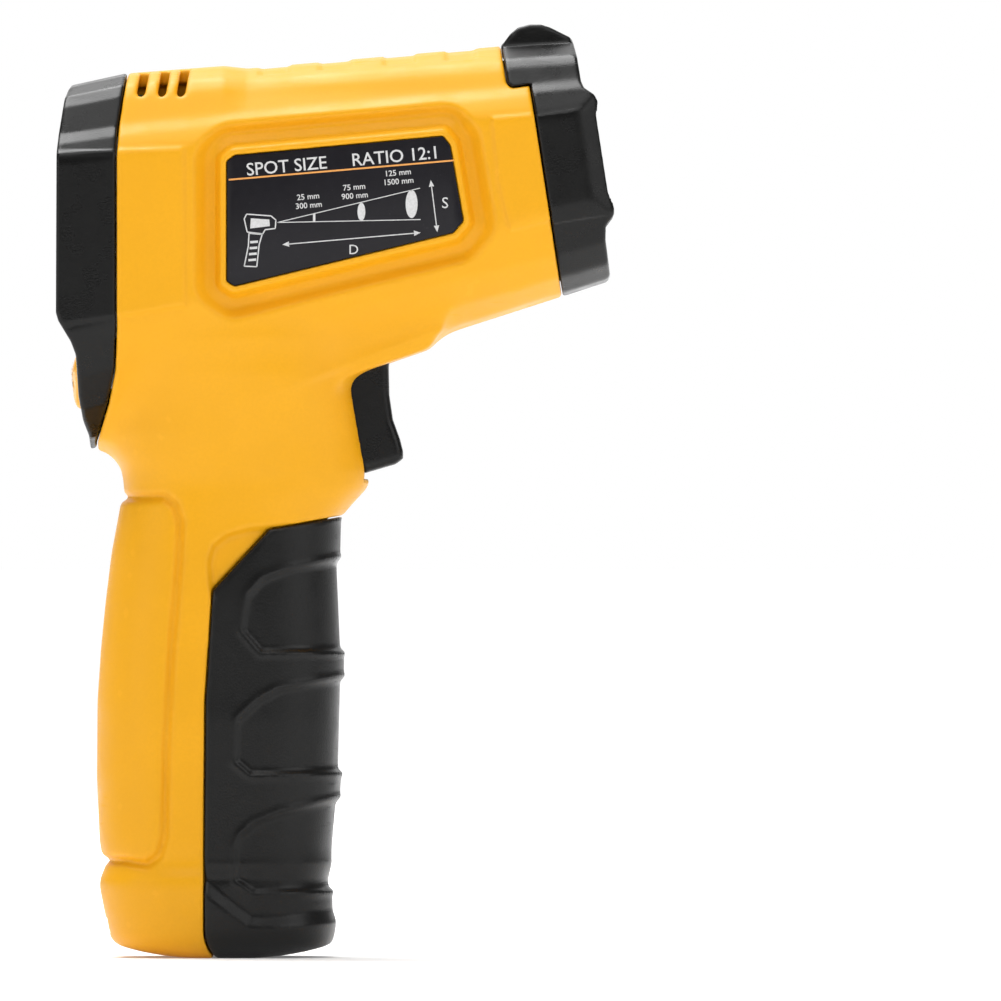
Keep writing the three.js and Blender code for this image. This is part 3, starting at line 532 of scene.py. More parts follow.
def stroke(points, width):
    """A line drawn with a flat pen, one thin solid to each of its stretches."""
    made = []
    for (a0, b0), (a1, b1) in zip(points, points[1:]):
        length = math.hypot(a1 - a0, b1 - b0)
        na, nb = -(b1 - b0) / length * width / 2, (a1 - a0) / length * width / 2
        made.append(flat([(a0 + na, b0 + nb), (a1 + na, b1 + nb), (a1 - na, b1 - nb), (a0 - na, b0 - nb)]))
    return made


def ellipse(a, b, ra, rb, steps=40):
    return [(a + ra * math.cos(2 * math.pi * i / steps), b + rb * math.sin(2 * math.pi * i / steps))
            for i in range(steps)]


def riding(piece, body, slot):
    """piece moves with the body; the slot is not used."""
    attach(piece, body)
    return piece


def printed(name, parts, place, look, body, slot):
    """The parts as one piece of print; place(a, b, height) gives the point in the drawing."""
    points, faces = [], []
    for more, rings in parts:
        faces += [tuple(i + len(points) for i in ring) for ring in rings]
        points += [place(*p) for p in more]
    return riding(mesh_of(name, points, faces, look, sharp=20), body, slot)


def stand_in(piece, node, body="case"):
    """piece shows in place of a CAD node, which it hides, and moves with the body."""
    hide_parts(node)
    return riding(piece, body, SLOT_OF[node])


def turned(name, profile, place, look, node, sides=72, sharp=32):
    """A turned piece in place of a CAD node."""
    return stand_in(mesh_of(name, *lathe(profile, place, sides), look, sharp), node)


# ---------------------------------------------------------------- materials
class Look:
    """A node-based material under construction, with all its patterns in the object's own coordinates."""

    def __init__(self, name, **uniform):
        self.material = bpy.data.materials.new(name)
        self.material.use_nodes = True
        self.nodes, self.links = self.material.node_tree.nodes, self.material.node_tree.links
        self.shader = self.nodes["Principled BSDF"]
        for key, value in uniform.items():
            self.shader.inputs[key.replace("_", " ")].default_value = value
        self.place = self.nodes.new("ShaderNodeTexCoord").outputs["Object"]

    def node(self, kind, **inputs):
        made = self.nodes.new("ShaderNode" + kind)
        for key, value in inputs.items():
            socket = made.inputs[key.replace("_", " ")]
            if isinstance(value, bpy.types.NodeSocket):
                self.links.new(value, socket)
            else:
                socket.default_value = value
        return made

    def noise(self, size, detail=3.0, stretch=None):
        """Noise with features of about size millimetres."""
        where = self.place
        if stretch:
            where = self.node("Mapping", Vector=where, Scale=stretch).outputs["Vector"]
        return self.node("TexNoise", Vector=where, Scale=1000 / size, Detail=detail).outputs["Fac"]

    def spread(self, value, low, high, start=0.35, end=0.65):
        made = self.node("MapRange", Value=value, From_Min=start, From_Max=end, To_Min=low, To_Max=high)
        return made.outputs["Result"]

    def mixed(self, factor, a, b):
        made = self.nodes.new("ShaderNodeMix")
        made.data_type = "RGBA"
        sockets = {s.name + s.type: s for s in made.inputs}
        for key, value in (("FactorVALUE", factor), ("ARGBA", a), ("BRGBA", b)):
            if isinstance(value, bpy.types.NodeSocket):
                self.links.new(value, sockets[key])
            else:
                sockets[key].default_value = value if isinstance(value, float) else (*value, 1)
        return next(s for s in made.outputs if s.type == "RGBA")

    def sum(self, a, b):
        made = self.nodes.new("ShaderNodeMath")
        self.links.new(a, made.inputs[0])
        self.links.new(b, made.inputs[1])
        return made.outputs["Value"]

    def mottled(self, color, size, dark, light, detail=3.0):
        """The colour in soft patches of about size millimetres, times dark to light."""
        patches = self.spread(self.noise(size, detail), 0.0, 1.0)
        return self.mixed(patches, tinted(color, dark), tinted(color, light))

    def edges(self, amount):
        """How much an outer edge is worn, from 0 to amount."""
        sharp = self.nodes.new("ShaderNodeNewGeometry").outputs["Pointiness"]
        return self.spread(sharp, 0.0, amount, 0.52, 0.6)

    def height(self, value, distance, strength=1.0, below=None):
        made = self.node("Bump", Height=value, Distance=distance / 1000, Strength=strength)
        if below is not None:
            self.links.new(below, made.inputs["Normal"])
        return made.outputs["Normal"]

    def finish(self, color, roughness, normal=None):
        self.links.new(color, self.shader.inputs["Base Color"])
        self.links.new(roughness, self.shader.inputs["Roughness"])
        if normal is not None:
            self.links.new(normal, self.shader.inputs["Normal"])
        return self.material


def tinted(color, k, lift=0.0):
    return tuple(min(1.0, c * k + lift) for c in color)


def plastic(name, color, roughness, grain=0.35, depth=0.03, mottle=0.05, wear=0.2, scuffs=0.1, **uniform):
    """Moulded plastic: mottled colour, a spark-eroded grain, worn edges and faint scuffs."""
    look = Look(name, **uniform)
    base = look.mottled(color, 14, 1 - mottle, 1 + mottle)
    base = look.mixed(look.spread(look.noise(0.5, 2.0), 0.0, 0.5), base, tinted(color, 1 - 2 * mottle))
    base = look.mixed(look.edges(wear), base, tinted(color, 1.25, 0.02))
    scratch = look.noise(0.6, 2.0, stretch=(0.12, 0.12, 1.0))
    marks = look.spread(scratch, 0.0, scuffs, 0.62, 0.72)
    rough = look.sum(look.spread(look.noise(5), roughness - 0.05, roughness + 0.05), marks)
    fine = look.height(look.noise(grain, 2.0), depth)
    return look.finish(base, rough, look.height(look.noise(3.2, 1.0), 0.03, 0.4, fine))


def metal(name, color, roughness, brushed=(1.0, 1.0, 0.08), tarnish=0.15):
    """Bare metal with fine lines along one axis and duller patches."""
    look = Look(name, Metallic=1.0)
    lines = look.noise(0.25, 3.0, stretch=brushed)
    base = look.mottled(color, 2.5, 1 - tarnish, 1.05)
    rough = look.spread(lines, roughness - 0.08, roughness + 0.12)
    return look.finish(base, rough, look.height(lines, 0.01, 0.5))


def film(name, color):
    """Dark glossy film with a little dust on it."""
    look = Look(name, Coat_Weight=0.04, Coat_Roughness=0.2, Specular_IOR_Level=0.2)
    base = look.mottled(color, 9, 0.92, 1.08)
    dust = look.spread(look.noise(0.35, 1.0), 0.0, 0.35, 0.72, 0.8)
    base = look.mixed(dust, base, tinted(color, 1.5, 0.02))
    rough = look.spread(look.noise(1.2), 0.3, 0.4)
    return look.finish(base, rough, look.height(look.noise(0.8), 0.006))


def ink(name, color):
    look = Look(name)
    base = look.mottled(color, 0.3, 0.9, 1.05, detail=2.0)
    return look.finish(base, look.spread(look.noise(0.6), 0.4, 0.55), look.height(look.noise(0.15), 0.004))


def clear(name, tint):
    """Clear plastic with faint smears."""
    look = Look(name, Transmission_Weight=1.0, IOR=1.46)
    base = look.mottled(tint, 12, 0.97, 1.0)
    smear = look.noise(4, 3.0, stretch=(1.0, 0.5, 1.0))
    return look.finish(base, look.spread(smear, 0.024, 0.064), look.height(smear, 0.002))


def liquid_crystal(name):
    """A lit cell: pale, in soft lighter and duller patches, with a faint dot pattern."""
    look = Look(name, Emission_Color=(0.74, 0.87, 0.91, 1), Emission_Strength=0.5)
    dots = look.node("TexVoronoi", Vector=look.place, Scale=2600.0).outputs["Distance"]
    base = look.mixed(look.spread(look.noise(11), 0.0, 1.0), (0.62, 0.76, 0.8), (0.78, 0.88, 0.9))
    base = look.mixed(look.spread(dots, 0.0, 0.25, 0.2, 0.9), base, (0.5, 0.66, 0.72))
    return look.finish(base, look.spread(look.noise(3), 0.2, 0.3), look.height(dots, 0.004))


def circuit(name):
    """Green solder mask over copper tracks, with a weave below."""
    look = Look(name, Coat_Weight=0.4, Coat_Roughness=0.15)
    cells = look.node("TexVoronoi", Vector=look.place, Scale=420.0)
    cells.distance = "MANHATTAN"
    cells.feature = "F1"
    tracks = look.spread(cells.outputs["Distance"], 0.0, 1.0, 0.28, 0.34)
    base = look.mixed(tracks, (0.02, 0.17, 0.06), (0.012, 0.1, 0.04))
    base = look.mixed(look.spread(look.noise(0.3), 0.0, 0.3), base, (0.03, 0.2, 0.08))
    return look.finish(base, look.spread(look.noise(1), 0.3, 0.42), look.height(tracks, 0.03))


def wrapped(name, low_z, high_z):
    """A printed cell wrap: dark, with a bright band between two heights in millimetres."""
    dark, bright, blend = (0.018, 0.022, 0.03), (0.6, 0.61, 0.6), 0.15
    look = Look(name, Metallic=0.5, Coat_Weight=0.5, Coat_Roughness=0.1)
    height = look.node("SeparateXYZ", Vector=look.place).outputs["Z"]
    base = dark
    for edge, color in ((low_z, bright), (high_z, dark)):
        base = look.mixed(look.spread(height, 0.0, 1.0, edge / 1000, (edge + blend) / 1000), base, color)
    base = look.mixed(look.spread(look.noise(0.5), 0.0, 0.2), base, (0.1, 0.11, 0.12))
    return look.finish(base, look.spread(look.noise(2.5), 0.24, 0.36), look.height(look.noise(1.5), 0.015))


YELLOW = plastic(
    "yellow_abs", (0.78, 0.365, 0.007), 0.42,
    grain=0.3, depth=0.012, mottle=0.02, wear=0.12, Specular_IOR_Level=0.22,
)
BLACK = plastic(
    "black_abs", (0.0036, 0.0036, 0.0034), 0.3,
    grain=0.28, depth=0.022, mottle=0.12, wear=0.25, Specular_IOR_Level=0.25,
)
GRIP = plastic(
    "grip_plastic", (0.0046, 0.0046, 0.0044), 0.34,
    grain=0.34, depth=0.03, mottle=0.12, wear=0.3, Specular_IOR_Level=0.28,
)
DULL_BLACK = plastic("black_internal", (0.02, 0.02, 0.021), 0.5, grain=0.3, depth=0.02, mottle=0.1)
KEY = plastic(
    "key_plastic", (0.8, 0.37, 0.01), 0.32,
    grain=0.4, depth=0.006, mottle=0.02, wear=0.1, Specular_IOR_Level=0.35,
)
WHITE = plastic("opal_plastic", (0.78, 0.78, 0.75), 0.4, grain=0.4, depth=0.01, mottle=0.03)
RUBBER = plastic("silicone", (0.045, 0.045, 0.05), 0.7, grain=0.2, depth=0.02, mottle=0.1)
LENS = plastic(
    "milky_polyethylene", (0.74, 0.7, 0.62), 0.3,
    grain=0.5, depth=0.006, mottle=0.03, Subsurface_Weight=0.3,
)
RED_WIRE = plastic("red_insulation", (0.42, 0.018, 0.012), 0.4, grain=0.5, depth=0.008, mottle=0.06)
BLACK_WIRE = plastic("black_insulation", (0.018, 0.018, 0.018), 0.4, grain=0.5, depth=0.008, mottle=0.08)
LABEL_FILM = film("label_film", (0.0085, 0.0078, 0.0105))
BORDER = film("window_print", (0.009, 0.009, 0.01))
LAMP = film("lamp_lens", (0.035, 0.032, 0.034))
PALE_INK = ink("pale_ink", (0.6, 0.6, 0.6))
ORANGE_INK = ink("orange_ink", (0.78, 0.34, 0.08))
WHITE_INK = ink("white_ink", (0.85, 0.85, 0.84))
DARK_INK = ink("segment_ink", (0.008, 0.008, 0.03))
CLEAR = clear("clear_acrylic", (0.97, 0.98, 0.98))
LCD = liquid_crystal("liquid_crystal")
BOARD = circuit("circuit_board")
STEEL = metal("zinc_plated_steel", (0.56, 0.57, 0.6), 0.3)
SPRING = metal("spring_wire", (0.6, 0.6, 0.6), 0.24)
BRASS = metal("turned_brass", (0.62, 0.44, 0.18), 0.26, brushed=(0.08, 1.0, 1.0))

SLOT_OF = {entry["node"]: entry["material_slot"] for entry in frame["record"]["subparts"]}
LOOK_OF = {  # for the CAD nodes that stay
    "black_plastic": DULL_BLACK, "label_film": LABEL_FILM, "clear_window": CLEAR, "lcd": LCD,
    "white_plastic": WHITE, "circuit_board": BOARD, "rubber": RUBBER, "steel": STEEL,
}


# ---------------------------------------------------------------- housing
def housing_form(x, y, z):
    """The plain form that the inside follows, and the yellow form with its surface detail."""
    plain = body_field(x, y, z)
    label = outline_field(LABEL, x, z)
    valley = (1 - step(label - 1.5, 1.3)) * step(label - 4.6, 2.8)  # it runs round the label's frame
    detail = 2.3 * valley + 0.2 * step(label - 2, 2)
    above_grip = step(104.5 - z, 2)
    for band in (REAR_BAND, FRONT_BAND):
        detail = detail - 0.6 * step(outline_field(band, x, z), 0.8) * above_grip
    roof_depth = np.interp(x, [0.5, 4.5, 47, 60], [0, 0.75, 0.3, 0.3]).astype(np.float32)
    detail = detail + roof_depth * step(143.5 - z, 5)
    for low, high in ROOF_PADS:
        detail = detail + 0.3 * step(both(span_field(x, low, high), np.abs(y) - 9, 146 - z), 0.6)
    detail = detail + 0.95 * ridge(line_field(PAD_GROOVE, x, z), 0.65)
    detail = detail - 0.25 * step(outline_field(PAD_GROOVE, x, z), 1.5)
    detail = detail + 1.3 * step(outline_field(SCOOP, x, z), 1.3)
    fold_x, fold_z = 10.7, 94.9  # a fold above the trigger rises towards the front and dies out upwards
    above = (z - fold_z) * 0.935 - (x - fold_x) * 0.355
    fold = step(-above, 1.2) * np.exp(-np.maximum(above, 0) / 4.5)
    detail = detail - 0.55 * fold * step(12 - x, 16) * step(z - 112, 8) * step(x - 40, 4)
    return plain, plain + detail


def vents(x, y, z):
    """Slots round each shoulder of the roof, leaning forwards, with rounded lower ends."""
    found = np.float32(1e9)
    lean, half_width, end_z, roof_z = 0.16, 0.7, 145, 149
    for middle in VENTS:
        across = x - middle - lean * (z - roof_z)
        found = np.minimum(found, np.sqrt(across ** 2 + np.minimum(z - end_z, 0) ** 2) - half_width)
    return both(found, 2.5 - np.abs(y), 140 - z)


def tongue(plain):
    """A thin layer just inside the wall, which closes joints from behind."""
    return span_field(plain, -WALL - 1.2, -WALL - 0.25)


def housing(side):
    """One yellow half: side is 1 for the left and -1 for the right."""
    def field(x, y, z):
        u, w = nose_axes(x, z)
        across = np.abs(y)
        plain, form = housing_form(x, y, z)
        inside_wall = plain + 1
        label = outline_field(LABEL, x, z)
        form = smooth_max(form, -both(label - 0.15, LABEL_SEAT - across), 0.25)
        hollow = np.maximum(plain + WALL + 0.4, -both(label - 6, LABEL_SEAT - 2.9 - across))
        shell = np.maximum(form, -hollow)
        for at in SCREWS:
            post = round_field(x, z, at, 4.2 if side > 0 else 3.2)
            shell = np.minimum(shell, np.maximum(post, inside_wall))
        bearing = both(round_field(x, z, TRIGGER_PIVOT, 3.2), inside_wall, 6.6 - across)
        baffle = both(span_field(across, 0.6, 1.8), span_field(x, -16, -2.5), 141.2 - z, inside_wall)
        shell = np.minimum(np.minimum(shell, bearing), baffle)
        for outline, a, b in ((HOOD_SIDE, x, z), (DOOR_SIDE, x, z), (NOSE_SIDE, u, w)):
            shell = smooth_max(shell, SEAM - outline_field(outline, a, b), 0.45)
        beside_door = np.abs(outline_field(DOOR_SIDE, x, z)) - 1.5
        shell = np.minimum(shell, both(tongue(plain), beside_door, 12.3 - z))
        shell = both(shell, -22 - x, u - 4)
        shell = smooth_max(shell, -vents(x, y, z), 0.5)
        lanyard_slot = both(np.abs(z - 5.4) - 1.1, across - 4.2, x + 15)
        shell = smooth_max(shell, -lanyard_slot, 0.4)
        trigger_slot = both(across - 6.3, span_field(x, 14.1, 28.9), span_field(z, 80.3, 103.5))
        shell = smooth_max(shell, -trigger_slot, 0.5)
        for at in SCREWS:
            if side > 0:
                shell = smooth_max(shell, -both(round_field(x, z, at, 2.9), SCREW_SEAT - across), 0.4)
            shell = np.maximum(shell, -both(round_field(x, z, at, 1.5), across - 13))
        shell = smooth_max(shell, SEAM - side * y, 0.3)
        if side > 0:  # behind the seam, below the display
            behind_seam = both(tongue(plain), span_field(y, -0.5, 1.6), x, span_field(z, 71, 86))
            shell = np.minimum(shell, behind_seam)
        return shell

    span = (-1, 23) if side > 0 else (-23, 1)
    name = "left" if side > 0 else "right"
    made = moulding(f"yellow_half_{name}", field, (-23.5, span[0], -1), (60, span[1], 155.5), YELLOW, 0.43)
    return stand_in(made, f"housing_{name}")


def hood_window(x, y, z, grow=0.0):
    """The display window's outline, widening towards the rear."""
    spread = np.maximum(0, WINDOW_X - x) / 5.8
    across, up = np.abs(y) / (1 + 0.08 * spread), (z - WINDOW_Z) / (1 + 0.03 * spread)
    return outline_field(WINDOW_HALF, across, WINDOW_Z + up, closed=False) - grow


def display_hood():
    def field(x, y, z):
        # The crown falls to the rear.
        fall = 0.14 * np.clip(-15.8 - x, 0, 12) * np.clip((z - 134) / 10, 0, 1)
        plain = blurred(barrel_field(x, y, z + fall), 0.22, z)
        outer = plain - 0.3 * step(outline_field(REAR_BAND, x, z), 0.35)
        side = outline_field(HOOD_SIDE, x, z) + SEAM
        panel = both(plain + 2.4, z - PANEL_Z, x + 20)
        side = side + 0.5 * step(panel, 0.5)
        f = smooth_max(outer, side, 0.55)
        window = hood_window(x, y, z)
        f = smooth_max(f, -both(window, x - WINDOW_X), 0.35)
        above_panel = both(outline_field(PANEL_TOP, np.abs(y), z), plain + 2.6, x - WINDOW_X + 0.3)
        f = smooth_max(f, -above_panel, 0.25)
        pane_seat = hood_window(np.float32(WINDOW_X), y, z, 0.2)
        f = np.maximum(f, -both(pane_seat, np.abs(x + 22) - 0.8))
        f = np.maximum(f, -both(pane_seat + 1.8, 106 - z, -24 - x))
        inside = plain + 1.8  # hollow behind the display and, further back, behind the keys
        f = np.maximum(f, -both(inside, -20.4 - x, 103.6 - z))
        f = np.maximum(f, -both(inside, -22.2 - x, z - 103.6, 91 - z))
        holes = np.minimum(outline_field(SIDE_BUTTON, np.abs(y), z), outline_field(KEYS["mode"], y, z)) - 0.25
        return smooth_max(f, -both(holes, x + 18), 0.35)

    made = moulding("display_hood_shell", field, (-29, -23, 84), (-14, 23, 150.5), BLACK, 0.33)
    return stand_in(made, "display_hood")


def nose_hood():
    def field(x, y, z):
        u, w = nose_axes(x, z)
        across = np.abs(y)
        plain = blurred(barrel_field(x, y, z), 0.6, z)
        outer = plain - 0.3 * step(outline_field(NOSE_FLANK, u, w), 0.35)
        f = smooth_max(outer, outline_field(NOSE_SIDE, u, w) + SEAM, 0.45)
        corner_cut = 0.507 * (u - 5.3) + 0.862 * (across - 20.6)  # slants the rim's sides
        f = smooth_max(f, corner_cut, 0.7)
        sight = smooth_max(outline_field(SIGHT_SIDE, u, w), across - 5.6 + 0.2 * (w - 21.6), 0.5)
        f = smooth_min(f, sight, 0.4)
        before_face, behind_face = both(plain + 1.7, FACE_U - u), both(plain + 1.8, u - FACE_U + 2)
        f = np.maximum(smooth_max(f, -before_face, 0.5), -behind_face)
        rim = np.abs(plain + 3.4) - 0.35
        f = smooth_min(f, both(rim, span_field(u, FACE_U - 1, FACE_U + 0.5)), 0.3)
        laser_boss = both(round_field(y, w, (0, LASER_W), 4.0), span_field(u, FACE_U - 1, FACE_U + 0.8))
        f = smooth_min(f, laser_boss, 0.5)
        spigot_end = np.where(w > 13, 9.4, 5.6)
        spigot = both(
            span_field(plain, -WALL - 1.8, -WALL - 0.55), u - FACE_U + 1, -u - spigot_end,
            -both(round_field(y, w, (0, LENS_W), 8.4), u + 2.85),  # room for the lens
        )
        f = np.minimum(f, spigot)
        for r, middle in ((5.8, LENS_W), (2.2, LASER_W)):
            f = smooth_max(f, -round_field(y, w, (0, middle), r), 0.4)
        countersink = round_field(y, w, (0, LASER_W), 2.2) - 0.9 * np.maximum(u - FACE_U + 0.2, 0)
        return smooth_max(f, -countersink, 0.3)

    made = moulding("nose_hood_shell", field, (42, -22, 108), (68, 22, 159), BLACK, 0.33)
    return stand_in(made, "nose_hood")


def battery_door():
    def field(x, y, z):
        plain = body_field(x, y, z)
        form = plain
        for pocket in POCKETS:  # each is a hollow with a raised edge
            edge = outline_field(pocket, x, z)
            form = form + 0.6 * step(edge, 1.1) - 0.22 * ridge(edge - 0.7, 0.4)
        waist = (np.interp(z, [13.2, 15.8], [1.2, 0]) * np.interp(x, [9, 19], [1, 0.5])).astype(np.float32)
        form = form + waist * np.clip(0.5 + outline_field(FOOT, x, z) / 2, 0, 1)
        f = np.maximum(form, -(plain + WALL + waist))
        for rib_z in (26.0, 40.0, 54.0):
            f = np.minimum(f, both(np.abs(z - rib_z) - 0.5, plain + 1, -(plain + WALL + 1.6)))
        px, pz = DOOR_PIVOT
        ear = np.minimum(round_field(x, z, DOOR_PIVOT, 2.5), np.maximum(np.abs(x - px) - 2.3, z - pz))
        f = np.minimum(f, both(ear, np.abs(np.abs(y) - 10.3) - 1.3, plain + 1))
        f = np.maximum(f, -both(round_field(x, z, DOOR_PIVOT, DOOR_HOLE), np.abs(y) - 13))
        return smooth_max(f, outline_field(DOOR_SIDE, x, z) + SEAM, 0.45)

    made = moulding("grip_door", field, (-4.5, -19, -1), (26, 19, 77), GRIP, 0.4)
    return stand_in(made, "battery_door", "door")


def trigger():
    def field(x, y, z):
        across = np.abs(y)
        side = outline_field(TRIGGER_SIDE, x, z)
        f = smooth_max(side, across - 5.8, 1.6)
        back = both(across - 4.4, x - 21.6 - 0.08 * (98.5 - z), np.abs(z - 92) - 6.5)
        f = smooth_max(f, -back, 0.3)
        return np.maximum(f, -round_field(x, z, TRIGGER_PIVOT, TRIGGER_HOLE))

    made = moulding("trigger_lever", field, (18, -7, 80), (32, 7, 107), BLACK, 0.25)
    return stand_in(made, "trigger", "trigger")


# ---------------------------------------------------------------- buttons
KEY_EDGE = 0.9  # how far in a button's rounded rim reaches


def crown_at(outline, y, z):
    """x of a button's domed face, as if it had no rim."""
    return CROWN + 0.055 * np.maximum(outline_field(outline, y, z) + 4.2, 0) ** 2


def face_at(outline, y, z):
    """x of a button's face, with its rounded rim."""
    edge = np.clip(outline_field(outline, y, z), -KEY_EDGE, 0)
    return crown_at(outline, y, z) - (edge - KEY_EDGE + 2 * np.sqrt(-KEY_EDGE * edge))


def button(name, outline):
    """A key: a domed cap, a flange that keeps it in, and a stem on its switch's plunger."""
    middle = {"up": SWITCH_Y, "mode": 0.0, "down": -SWITCH_Y}[name]

    def field(x, y, z):
        edge = outline_field(outline, y, z)
        cap = both(smooth_max(edge, crown_at(outline, y, z) - x, KEY_EDGE), x + 21)
        flange = both(edge - 0.6, np.abs(x + 21.4) - 0.35, barrel_field(x, y, z) + 2.3)
        stem = both(np.abs(x + 20.2) - 0.8, np.abs(y - middle) - 1.5, np.abs(z - SWITCH_Z) - 1.5)
        return np.minimum(np.minimum(cap, flange), stem)

    ys, zs = zip(*outline)
    low, high = (-27, min(ys) - 1.5, min(zs) - 1.5), (-19, max(ys) + 1.5, max(zs) + 1.5)
    return stand_in(moulding(f"key_{name}", field, low, high, KEY, 0.2), f"button_{name}", f"{name}_key")


def triangle(a, b, r, up=True):
    sign = 1 if up else -1
    return [(a - r, b - 0.75 * r * sign), (a + r, b - 0.75 * r * sign), (a, b + 0.9 * r * sign)]


def legends():
    """White marks on the three keys: units with an arrow up, MODE, and a lamp with an arrow down."""
    lamp = (9.9, 98.7)
    rays = [
        stroke([(lamp[0] + r * math.cos(t), lamp[1] + r * math.sin(t)) for r in (0.85, 1.35)], 0.2)[0]
        for t in (math.radians(45 * i) for i in range(8))
    ]
    marks = {
        "up": [words("°C/°F", 1.7, -10.0, 98.9, bold=0.04), flat(triangle(-9.7, 96.1, 0.85))],
        "mode": [words("MODE", 2.4, 0, BUTTON_Z)],
        "down": [flat(ellipse(*lamp, 0.6, 0.6)), *rays, flat(triangle(9.7, 96.1, 0.85, up=False))],
    }
    for name, parts in marks.items():
        def place(a, b, height, outline=KEYS[name]):
            return (float(face_at(outline, np.float32(-a), np.float32(b))) - PRINT_GAP - height, -a, b)
        printed(f"legend_{name}", parts, place, WHITE_INK, f"{name}_key", "button_plastic")


# ---------------------------------------------------------------- label
def label(side):
    """Generic print on one label: a header, a measuring cone with three spots, and two arrows.
    Positions are x and z; on the left side the print is laid out the other way round, so that it reads."""
    s = -side
    tilt = SLOPE * s

    def at(x, z):
        return (s * (x + 0.2), z - 0.3)

    def say(text, size, x, z, turn=tilt, bold=0.0):
        return words(text, size, *at(x, z), turn, bold)

    def line(*points, width=0.14):
        return stroke([at(*p) for p in points], width)

    def shape(*points):
        return flat([at(*p) for p in points])

    def arrow(x0, z0, x1, z1, head=1.1):
        length = math.hypot(x1 - x0, z1 - z0)
        dx, dz = (x1 - x0) / length, (z1 - z0) / length
        parts = line((x0 + dx, z0 + dz), (x1 - dx, z1 - dz), width=0.17)
        for px, pz, k in ((x0, z0, 1), (x1, z1, -1)):
            bx, bz = px + k * head * dx, pz + k * head * dz
            parts.append(shape((px, pz), (bx - 0.45 * dz, bz + 0.45 * dx), (bx + 0.45 * dz, bz - 0.45 * dx)))
        return parts

    parts = [say("SPOT SIZE", 3.0, 11.0, 132.85, bold=0.02), say("RATIO 12:1", 3.0, 29.2, 134.5, bold=0.02)]
    cone = (9.4, 123.5)
    parts += line(cone, (33.3, 129.25)) + line(cone, (33.4, 124.0))
    parts.append(flat([at(x, z) for x, z in ellipse(31.9, 126.6, 1.0, 2.35)]))
    parts.append(flat([at(x, z) for x, z in ellipse(23.5, 125.3, 0.65, 1.5)]))
    parts += line((15.6, 123.7), (15.6, 124.95), width=0.4)
    parts += arrow(10.3, 119.8, 33.4, 121.8) + arrow(35.1, 130.6, 36.2, 121.9)
    parts += [say("D", 2.3, 22.2, 118.9, 0), say("S", 2.6, 37.5, 126.7, 0)]
    for x, z, spot, distance in (
        (14.6, 127.1, "25 mm", "300 mm"),
        (22.3, 128.7, "75 mm", "900 mm"),
        (29.6, 131.1, "125 mm", "1500 mm"),
    ):
        parts += [say(spot, 1.35, x, z + 0.7, bold=0.015), say(distance, 1.35, x + 0.1, z - 0.75, bold=0.015)]
    barrel = [
        (3.9, 124.1), (4.3, 124.9), (8.4, 124.6), (9.2, 123.9), (9.1, 122.5), (7.4, 122.3), (7.0, 121.6),
        (4.4, 121.9),
    ]
    handle = [(4.7, 121.7), (6.9, 121.5), (6.4, 119.8), (6.0, 116.1), (3.9, 116.2), (4.6, 119.6)]
    for outline in (barrel, handle):
        parts += line(*outline, outline[0], width=0.2)
    parts.append(shape((4.9, 122.5), (8.2, 122.9), (8.1, 124.0), (5.0, 124.2)))
    parts += [shape((4.6 + 0.1 * i, 117 + i), (5.9 + 0.1 * i, 117.1 + i), (5.9 + 0.1 * i, 117.5 + i),
                    (4.6 + 0.1 * i, 117.4 + i)) for i in range(4)]

    def place(a, b, height):
        return (s * a, side * (FILM + 0.005 + height), b)

    name = "left" if side > 0 else "right"
    printed(f"label_print_{name}", parts, place, PALE_INK, "case", "label_film")
    divider = line((1.3, 130.65), (39.1, 133.9), width=0.28)
    printed(f"label_line_{name}", divider, place, ORANGE_INK, "case", "label_film")


# ---------------------------------------------------------------- display
SEGMENTS = {"0": "abcdef", "3": "abcdg", "4": "bcfg"}


def digit(char, a, b, wide, high, thick):
    """The lit bars of a seven-segment digit whose lower left corner is (a, b)."""
    gap, half = 0.12, high / 2
    corners = {
        "a": ((0, high), (wide, high)), "g": ((0, half), (wide, half)), "d": ((0, 0), (wide, 0)),
        "f": ((0, half), (0, high)), "b": ((wide, half), (wide, high)),
        "e": ((0, 0), (0, half)), "c": ((wide, 0), (wide, half)),
    }
    bars = []
    for name in SEGMENTS[char]:
        (a0, b0), (a1, b1) = corners[name]
        length, t = a1 - a0 + b1 - b0, thick / 2
        near, far = gap + t, length - gap - t
        bar = [(gap, 0), (near, t), (far, t), (length - gap, 0), (far, -t), (near, -t)]
        if a0 == a1:
            bar = [(q, p) for p, q in bar]
        bars.append(flat([(a + a0 + p, b + b0 + q) for p, q in bar]))
    return bars


